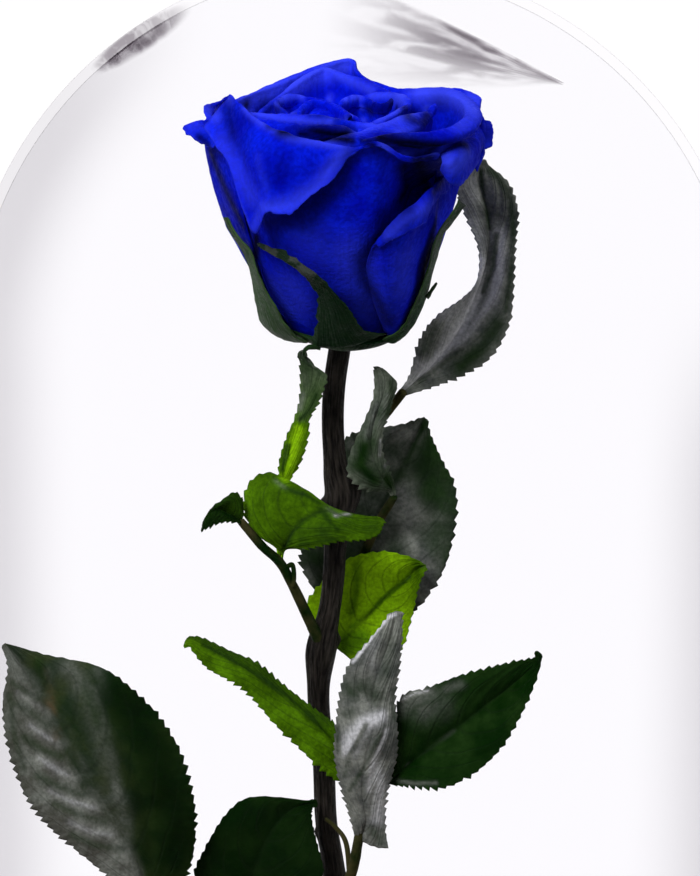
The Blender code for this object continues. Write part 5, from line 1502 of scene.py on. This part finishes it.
def leaflet_points(leaflet, number, settings):
    """Grid of a leaflet's middle surface in mm: forward-pointing teeth, sunk veins and a quilted blade."""
    guides = [[from_photo(*place, depth) for place, depth in zip(row, row[3])] for row in leaflet.rows]
    fine = spline(guides, GUIDE_STEPS)
    run = np.concatenate([[0], np.cumsum(np.linalg.norm(np.diff(fine, axis=0), axis=2).mean(axis=1))])
    rows = round(run[-1] / TOOTH_LENGTH) * ROWS_PER_TOOTH
    want = np.linspace(0, run[-1], rows + 1)
    left, middle, right = (
        np.stack([np.interp(want, run, fine[:, line, k]) for k in range(3)], axis=1) for line in range(3))
    up = unit(np.cross(unit(right - left), unit(np.gradient(middle, axis=0))))
    t = np.linspace(0, 1, rows + 1)
    u = np.linspace(-1, 1, LEAF_COLUMNS + 1)
    u = np.sign(u) * abs(u) ** 0.8
    outwards = np.where(u[:, None] < 0, (left - middle)[:, None], (right - middle)[:, None])
    reach = np.linalg.norm(outwards, axis=-1)
    tooth_number, phase = np.divmod(np.arange(rows + 1), ROWS_PER_TOOTH)
    size = 1 + 1.8 * np.array([noise.noise(Vector((k * 1.7, number * 5.3, 0))) for k in tooth_number])
    tooth = settings.tooth_depth / MM * size * (phase / (ROWS_PER_TOOTH - 1) - 0.4)
    tooth = (tooth * smoothstep(6 * t) * (1 - 0.4 * t))[:, None]
    wide = reach * abs(u) + LEAF_MARGIN * abs(u) + tooth * smoothstep((abs(u) - 0.72) / 0.28)
    sweep = t[:, None] - 1.15 * (abs(u) / 2) ** 1.3
    quilt = 0.5 + 0.5 * np.cos(2 * math.pi * VEIN_PAIRS * sweep)
    quilt = quilt * smoothstep(3 * abs(u)) * smoothstep(3 * (1 - abs(u)))
    rib = np.exp(-((wide / RIB_WIDTH) ** 2)) * (1 - t[:, None])
    belly = HALF_BELLY * reach * np.sin(math.pi * abs(u))
    rise = belly + settings.quilt_depth / MM * quilt - RIB_DEPTH * rib
    points = middle[:, None] + unit(outwards) * wide[..., None] + up[:, None] * rise[..., None]
    droop = field(points, 14.0, number) * settings.leaf_warp / MM * smoothstep(2 * abs(u))
    return points + up[:, None] * droop[..., None]


# What each kind of stroke draws a leaflet's backlit, silver_and_sheen and dry shares towards. lit paints
# light shining through the leaf, painted_sheen a white sheen and shade painted shade; silver_and_sheen
# draws to the pale underside colour, which some strokes use as a painted sheen
STROKE_TONES = {
    "lit": (2, 0, 0), "silver_and_sheen": (0, 1, 0), "painted_sheen": (0, 2, 0), "dry": (0, 0.3, 1), "dark": (0, 0, 0),
    "shade": (-1, 0, 0),
}


def leaflet_tone(leaflet, points, strokes):
    """Painted backlight (2 glows, -1 is painted shade), silver (2 is a painted white sheen) and dryness of
    each point.
    """
    rows, columns = points.shape[:2]
    t = np.linspace(0, 1, rows)[:, None]
    right = smoothstep(np.linspace(-3, 4, columns))[None, :]

    def blend(corners):
        left_side = corners[0] + (corners[1] - corners[0]) * t
        right_side = corners[2] + (corners[3] - corners[2]) * t
        return left_side * (1 - right) + right_side * right

    dry = np.full((rows, columns), leaflet.dry)
    tone = np.stack([blend(leaflet.backlit), blend(leaflet.silver_and_sheen), dry], axis=-1)
    for kind, aim in STROKE_TONES.items():
        share = stroke_share(points, strokes[kind])[..., None]
        tone = tone * (1 - share) + np.array(aim) * share
    return tone


def build_leaf(node, settings):
    """One leaf: its stalks, whose UV map keeps them clear of the veins, and its leaflets."""
    parts = MeshParts()
    for route, thick, thin in STALKS[node]:
        points = smooth_route(route, STALK_STEPS[0])
        radii = np.linspace(thick, thin, len(points)) * (1 + 0.08 * field(points, 3.0, 1.0))
        grid = tube_grid(points, radii, STALK_STEPS[1]) * MM
        parts.add_grid(grid, STALK_TONE, uv_scale=(0.04, 0.2), uv_shift=(0.9, 0))
    # The number sets a leaflet's teeth and its warp, and starts elsewhere for each leaf
    surfaces = [leaflet_points(leaflet, number, settings) * MM
                for number, leaflet in enumerate(LEAFLETS[node], len(node))]
    for points in surfaces:
        parts.add_blade(points, settings.leaf_thickness)
    strokes = {kind: parts.lay(LEAF_STROKES.get((node, kind), [])) for kind in STROKE_TONES}
    for number, (leaflet, points) in enumerate(zip(LEAFLETS[node], surfaces), len(STALKS[node])):
        tone = leaflet_tone(leaflet, points, strokes)
        pale = tone.copy()
        pale[..., 1] = np.maximum(pale[..., 1], PALE_BACK * (1 - pale[..., 0]))
        parts.paint(number, tone, pale)
    piece = parts.build("rose_" + node, leaf_material(node + "_skin", settings), node)


# Dome and base

BEAD_HEIGHT = 3.5 * MM
# Above this height over the foot, the bead stays outside the dome's side
BEAD_SHOULDER = 2.5 * MM
DOME_SIDES = 176
CROWN_STEPS = 56
# The crown's arcs end just beside the axis, in degrees
CROWN_END = 89.95

LEDGE_RADIUS = 84 * MM
DOME_GAP = 0.3 * MM
BASE_EDGE = 2 * MM
COVE_HEIGHT = 7 * MM
# Rounded lip under the cove: its radius, and how far its centre lies below the ledge
LIP_RADIUS = 0.8 * MM
LIP_DROP = 8.2 * MM
LEDGE_ROUNDING = 0.5 * MM
DISC_RADIUS = 73.5 * MM
DISC_ROUNDING = 1 * MM
DISC_FOOT = 0.2 * MM
HOLE_RADIUS = 2.5 * MM
HOLE_FLOOR = 8 * MM
AXIS = 0.01 * MM
BASE_SIDES = 160


def arc(centre, radius, start, end, steps):
    """(radius, height) points along an arc, from one angle in degrees to another."""
    angles = np.radians(np.linspace(start, end, steps + 1))
    return [(centre[0] + radius * math.cos(a), centre[1] + radius * math.sin(a)) for a in angles]


def build_dome(settings):
    wall, foot = settings.wall, DOME_LOW.z
    inner, middle, half = DOME_RADIUS - wall, DOME_RADIUS - wall / 2, BEAD_HEIGHT / 2
    swell = (FOOT_BEAD + wall / 2) / half
    bead = [(middle + (r - middle) * swell, z) for r, z in arc((middle, foot + half), half, -90, 90, 14)]
    bead = [(max(r, DOME_RADIUS) if z > foot + BEAD_SHOULDER else r, z) for r, z in bead]
    heights = np.linspace(foot + BEAD_HEIGHT + MM, DOME_SPRING, 18)[:-1]
    profile = [
        *bead, *((DOME_RADIUS, z) for z in heights),
        *arc((0, DOME_SPRING), DOME_RADIUS, 0, CROWN_END, CROWN_STEPS),
        *arc((0, DOME_SPRING), inner, CROWN_END, 0, CROWN_STEPS),
        *((inner, z) for z in heights[::-1]), (inner, foot + 0.6 * MM), (inner + 0.3 * MM, foot), bead[0],
    ]
    piece = build_surface(turned_grid(profile, DOME_SIDES), "dome", glass_material(settings), "glass_dome")


def build_base(settings):
    low, top, disc = BASE_LOW.z, DOME_LOW.z - DOME_GAP, BASE_HIGH.z
    cove = [(BASE_RADIUS - (BASE_RADIUS - LEDGE_RADIUS) * math.sin(a), top - COVE_HEIGHT * math.cos(a))
            for a in np.radians(np.linspace(4, 86, 14))]
    profile = [
        (AXIS, low), (40 * MM, low), (BASE_RADIUS - BASE_EDGE, low),
        *arc((BASE_RADIUS - BASE_EDGE, low + BASE_EDGE), BASE_EDGE, -80, 0, 8),
        (BASE_RADIUS, top - LIP_DROP - LIP_RADIUS),
        *arc((BASE_RADIUS - LIP_RADIUS, top - LIP_DROP), LIP_RADIUS, 0, 80, 5),
        *cove,
        *arc((LEDGE_RADIUS - LEDGE_ROUNDING, top - LEDGE_ROUNDING), LEDGE_ROUNDING, 20, 90, 4),
        (DISC_RADIUS + DISC_FOOT, top), (DISC_RADIUS, top + DISC_FOOT), (DISC_RADIUS, disc - DISC_ROUNDING),
        *arc((DISC_RADIUS - DISC_ROUNDING, disc - DISC_ROUNDING), DISC_ROUNDING, 10, 90, 6),
        (55 * MM, disc), (20 * MM, disc), (HOLE_RADIUS + 0.5 * MM, disc), (HOLE_RADIUS, disc - 0.5 * MM),
        (HOLE_RADIUS, HOLE_FLOOR), (AXIS, HOLE_FLOOR),
    ]
    grid = turned_grid(profile, BASE_SIDES)
    piece = build_surface(grid, "base_disc", wood_material(settings), "wooden_base")
    piece.data.set_sharp_from_angle(angle=math.radians(40))


# Stage: camera, lights, floor and backdrop

SENSOR = 36
SWEEP_REACH = 2.7
SWEEP_HEIGHT = 2.2
SWEEP_BEND = 0.5
# The floor lies this far under the base
FLOOR_DROP = 0.4 * MM
# Each lamp's place, its size and its share of the key light's power
LAMPS = {
    "key": ((-0.4, -0.8, 0.75), (0.4, 0.4), 1),
    "right": ((0.9, -0.25, 0.45), (0.3, 0.8), 0.15),
    "top": ((0.05, 0.25, 1.0), (0.5, 0.4), 0.25),
}
LIGHT_TARGET = Vector((0, 0, 0.19))
PAPER_TINT = (1.0, 0.985, 1.0, 1)
ROOM_TINT = (0.97, 0.975, 1, 1)


def add_camera():
    camera = bpy.data.cameras.new("camera")
    holder = bpy.data.objects.new("camera", camera)
    bpy.context.scene.collection.objects.link(holder)
    back = Vector((0, -math.cos(CAMERA_PITCH), math.sin(CAMERA_PITCH)))
    holder.location = Vector(CAMERA_TARGET) * MM + back * CAMERA_DISTANCE * MM
    holder.rotation_euler = back.to_track_quat("Z", "Y").to_euler()
    camera.sensor_fit = "VERTICAL"
    camera.sensor_height = SENSOR
    camera.lens = SENSOR * CAMERA_DISTANCE / (PHOTO_HEIGHT * PIXEL)
    camera.clip_start = 0.01
    bpy.context.scene.camera = holder


def add_soft_light(name, place, size, power):
    light = bpy.data.lights.new(name, "AREA")
    light.shape = "RECTANGLE"
    light.size, light.size_y = size
    light.energy = power
    holder = bpy.data.objects.new(name, light)
    holder.location = place
    holder.rotation_euler = (Vector(place) - LIGHT_TARGET).to_track_quat("Z", "Y").to_euler()
    holder.visible_camera = False
    holder.visible_glossy = False
    holder.visible_transmission = False
    bpy.context.scene.collection.objects.link(holder)


def paper_light(tree, settings, mirrored):
    """Strength of the white surroundings: full to the eye, less for the light they throw on the rose."""
    light = add_node(tree, "ShaderNodeLightPath").outputs
    eye = product(tree, light["Is Camera Ray"], settings.backdrop_brightness)
    through = product(tree, light["Is Transmission Ray"], settings.backdrop_behind_glass)
    fill = product(tree, light["Is Diffuse Ray"], settings.backdrop_fill)
    reflected = difference(tree, light["Is Glossy Ray"], light["Is Transmission Ray"])
    shine = product(tree, larger(tree, reflected, 0.0), mirrored)
    return total(tree, eye, through, fill, shine)


def backdrop_material(settings):
    """White paper: bright in reflections behind the rose, dark in front of it."""
    material = bpy.data.materials.new("white_paper")
    material.use_nodes = True
    tree = material.node_tree
    tree.nodes.remove(tree.nodes["Principled BSDF"])
    back = parts_of(tree, object_place(tree))[1]
    mirrored = map_range(tree, back, -0.1, 0.5, settings.backdrop_reflection, settings.backdrop_behind_glass)
    strength = paper_light(tree, settings, mirrored)
    glow = add_node(tree, "ShaderNodeEmission", {"Color": PAPER_TINT, "Strength": strength}).outputs[0]
    tree.links.new(glow, tree.nodes["Material Output"].inputs["Surface"])
    return material


def add_sweep(settings):
    """A paper floor that curves up into a backdrop behind the object."""
    curve = arc((SWEEP_REACH - SWEEP_BEND, SWEEP_BEND - FLOOR_DROP), SWEEP_BEND, -90, 0, 23)
    profile = [(-SWEEP_REACH, -FLOOR_DROP), (0, -FLOOR_DROP), *curve, (SWEEP_REACH, SWEEP_HEIGHT)]
    mesh = bpy.data.meshes.new("sweep")
    form = bmesh.new()
    rows = [[form.verts.new((x, y, z)) for x in (-SWEEP_REACH, SWEEP_REACH)] for y, z in profile]
    for low, high in zip(rows, rows[1:]):
        form.faces.new((low[0], low[1], high[1], high[0]))
    form.to_mesh(mesh)
    form.free()
    mesh.shade_smooth()
    mesh.materials.append(backdrop_material(settings))
    sweep = bpy.data.objects.new("sweep", mesh)
    bpy.context.scene.collection.objects.link(sweep)


def build_stage(settings):
    scene = bpy.context.scene
    world = bpy.data.worlds.new("studio")
    world.use_nodes = True
    room = world.node_tree
    background = room.nodes["Background"]
    background.inputs["Color"].default_value = ROOM_TINT
    room.links.new(paper_light(room, settings, settings.backdrop_behind_glass), background.inputs["Strength"])
    scene.world = world
    scene.view_settings.view_transform = "Standard"
    for name, (place, size, share) in LAMPS.items():
        add_soft_light(name, place, size, settings.key_power * share)
    add_sweep(settings)
    add_camera()


# Settings, operators and panel


def a_length(name, description, default):
    return bpy.props.FloatProperty(
        name=name, description=description, default=default, min=0, unit="LENGTH", precision=5)


def a_colour(name, description, default):
    return bpy.props.FloatVectorProperty(
        name=name, description=description, default=default, min=0, max=1, size=3, subtype="COLOR")


def a_number(name, description, default):
    return bpy.props.FloatProperty(name=name, description=description, default=default, min=0)


class RoseBloomSettings(bpy.types.PropertyGroup):
    """Sizes and colours of the petals"""

    petal_thickness: a_length("Petal thickness", "Thickness of each petal", 0.4 * MM)
    fold_depth: a_length("Fold depth", "Depth of a petal's broad folds", 0.45 * MM)
    crease_depth: a_length("Crease depth", "Depth of a petal's small creases", 0.12 * MM)
    edge_wear: a_length("Edge wear", "How ragged a petal's free edge is", 0.55 * MM)
    petal_colour: a_colour("Petal", "Main colour of the petals", (0.0005, 0.005, 0.6))
    petal_light_colour: a_colour("Petal, lighter", "Lighter patches of the petals", (0.002, 0.015, 0.8))
    petal_shade_colour: a_colour("Petal, deeper", "Deep colour near the petals' roots", (0.0005, 0.001, 0.2))
    # Painted highlight on rims and crests
    petal_highlight_colour: a_colour("Petal rim", "Colour of rims and crests in the light", (0.045, 0.07, 0.9))
    # Painted shade deep between the petals
    petal_painted_shade_colour: a_colour("Petal hollow", "Colour deep between the petals", (0.0001, 0.0001, 0.004))


class RoseGreenSettings(bpy.types.PropertyGroup):
    """Sizes and colours of the calyx, the leaves and the stem"""

    sepal_thickness: a_length("Sepal thickness", "Thickness of each sepal", 0.45 * MM)
    sepal_wear: a_length("Sepal wear", "How uneven a sepal's edges are", 0.6 * MM)
    leaf_thickness: a_length("Leaf thickness", "Thickness of each leaflet", 0.35 * MM)
    tooth_depth: a_length("Tooth depth", "Depth of the teeth along a leaflet", 0.6 * MM)
    quilt_depth: a_length("Quilting", "How far a leaflet swells between its veins", 0.22 * MM)
    leaf_warp: a_length("Warp", "How far a leaflet's blade wanders", 1.0 * MM)
    groove_depth: a_length("Groove depth", "Depth of the grooves along the stem", 0.3 * MM)
    sepal_colour: a_colour("Sepal", "Main colour of the sepals", (0.012, 0.045, 0.01))
    sepal_dark_colour: a_colour("Sepal, darker", "Darker streaks of the sepals", (0.0015, 0.012, 0.003))
    sepal_edge_colour: a_colour("Sepal edge", "Colour along the sepals' edges", (0.07, 0.13, 0.05))
    dark_colour: a_colour("Leaf", "Upper side of the leaves", (0.002, 0.013, 0.001))
    dark_light_colour: a_colour("Leaf, lighter", "Lighter patches of the upper side", (0.012, 0.034, 0.006))
    silver_colour: a_colour("Leaf underside", "Pale underside of the leaves", (0.26, 0.27, 0.24))
    # Painted white sheen
    sheen_colour: a_colour("White sheen", "Where a leaf's surface or teeth shine white", (0.75, 0.75, 0.78))
    silver_shade_colour: a_colour("Leaf underside, darker", "Darker patches there", (0.1, 0.105, 0.1))
    # Painted light shining through the leaves, and painted shade on them
    backlit_colour: a_colour("Leaf, lit through", "Leaves that light shines through", (0.10, 0.24, 0.003))
    glow_colour: a_colour("Lit through, bright", "Places lit through from close by", (0.25, 0.5, 0.004))
    shade_colour: a_colour("Leaf in shade", "Darkest places of the leaves", (0.001, 0.003, 0.001))
    backlit_shade_colour: a_colour("Lit through, darker", "Darker patches there", (0.045, 0.11, 0.001))
    dry_colour: a_colour("Dry patches", "Brown dry patches", (0.16, 0.09, 0.05))
    vein_colour: a_colour("Veins", "Colour of the veins", (0.006, 0.012, 0.005))
    bark_colour: a_colour("Stem", "Main colour of the stem", (0.002, 0.0018, 0.0016))
    bark_light_colour: a_colour("Stem ridges", "Lighter ridges of the stem", (0.035, 0.03, 0.025))


class RoseHolderSettings(bpy.types.PropertyGroup):
    """Sizes and colours of the dome and the base"""

    wall: a_length("Glass wall", "Thickness of the dome's wall", 2 * MM)
    glass_colour: a_colour("Glass", "Tint of the glass", (0.99, 0.99, 0.995))
    # Colour of the painted reflections and the painted edge shade in the glass
    glass_reflection_and_shade_colour: a_colour(
        "Glass streaks", "Tint where the crown mirrors dark things", (0.3, 0.27, 0.3))
    wood_light_colour: a_colour("Wood", "Lighter wood of the base", (0.30, 0.15, 0.065))
    wood_dark_colour: a_colour("Wood, darker", "Darker rings of the wood", (0.10, 0.042, 0.018))


class RoseStageSettings(bpy.types.PropertyGroup):
    """Brightness of the studio"""

    backdrop_brightness: a_number("Backdrop", "How bright the paper looks", 1.02)
    backdrop_behind_glass: a_number("Backdrop, behind glass", "How bright the paper is through glass", 1.22)
    backdrop_reflection: a_number("Backdrop, mirrored", "How bright the paper is in reflections", 0.12)
    backdrop_fill: a_number("Backdrop fill", "How strongly the paper lights the rose", 0.22)
    key_power: a_number("Key light", "Power of the main light in watts", 11.0)


class ROSE_OT_base(bpy.types.Operator):
    """Turn the wooden base"""

    bl_idname = "rose.base"
    bl_label = "Wooden base"

    def execute(self, context):
        build_base(context.scene.rose_holder)
        return {"FINISHED"}


class ROSE_OT_stem(bpy.types.Operator):
    """Grow the stem with its joints, grooves and buds"""

    bl_idname = "rose.stem"
    bl_label = "Stem"

    def execute(self, context):
        build_stem(context.scene.rose_green)
        return {"FINISHED"}


class ROSE_OT_leaves(bpy.types.Operator):
    """Grow every compound leaf"""

    bl_idname = "rose.leaves"
    bl_label = "Leaves"

    def execute(self, context):
        for node in LEAFLETS:
            build_leaf(node, context.scene.rose_green)
        return {"FINISHED"}


class ROSE_OT_calyx(bpy.types.Operator):
    """Make the calyx: the cup under the bloom and its five sepals"""

    bl_idname = "rose.calyx"
    bl_label = "Calyx"

    def execute(self, context):
        build_calyx(context.scene.rose_green)
        return {"FINISHED"}


class ROSE_OT_bloom(bpy.types.Operator):
    """Make the bloom petal by petal"""

    bl_idname = "rose.bloom"
    bl_label = "Bloom"

    def execute(self, context):
        build_bloom(context.scene.rose_bloom)
        return {"FINISHED"}


class ROSE_OT_dome(bpy.types.Operator):
    """Blow the glass dome"""

    bl_idname = "rose.dome"
    bl_label = "Glass dome"

    def execute(self, context):
        build_dome(context.scene.rose_holder)
        return {"FINISHED"}


class ROSE_OT_stage(bpy.types.Operator):
    """Set up the camera, the lights, the floor and the backdrop"""

    bl_idname = "rose.stage"
    bl_label = "Stage"

    def execute(self, context):
        build_stage(context.scene.rose_stage)
        return {"FINISHED"}


class ROSE_PT_panel(bpy.types.Panel):
    """Lists the pieces of the rose and their settings"""

    bl_idname = "ROSE_PT_panel"
    bl_label = "Preserved rose"
    bl_space_type = "VIEW_3D"
    bl_region_type = "UI"
    bl_category = "Rose"

    def draw(self, context):
        for operator in OPERATORS:
            self.layout.operator(operator.bl_idname)
        for name in SETTINGS:
            settings = getattr(context.scene, name)
            box = self.layout.box()
            for field_name in settings.__annotations__:
                box.prop(settings, field_name)


OPERATORS = [
    ROSE_OT_base, ROSE_OT_stem, ROSE_OT_leaves, ROSE_OT_calyx, ROSE_OT_bloom, ROSE_OT_dome, ROSE_OT_stage,
]
SETTINGS = {
    "rose_bloom": RoseBloomSettings,
    "rose_green": RoseGreenSettings,
    "rose_holder": RoseHolderSettings,
    "rose_stage": RoseStageSettings,
}


def register():
    for made in (*SETTINGS.values(), *OPERATORS, ROSE_PT_panel):
        bpy.utils.register_class(made)
    for name, made in SETTINGS.items():
        setattr(bpy.types.Scene, name, bpy.props.PointerProperty(type=made))


def unregister():
    for name in SETTINGS:
        delattr(bpy.types.Scene, name)
    for made in reversed((*SETTINGS.values(), *OPERATORS, ROSE_PT_panel)):
        bpy.utils.unregister_class(made)


def main():
    register()
    bpy.ops.rose.base()
    bpy.ops.rose.stem()
    bpy.ops.rose.leaves()
    bpy.ops.rose.calyx()
    bpy.ops.rose.bloom()
    bpy.ops.rose.dome()
    bpy.ops.rose.stage()


if __name__ == "__main__":
    main()
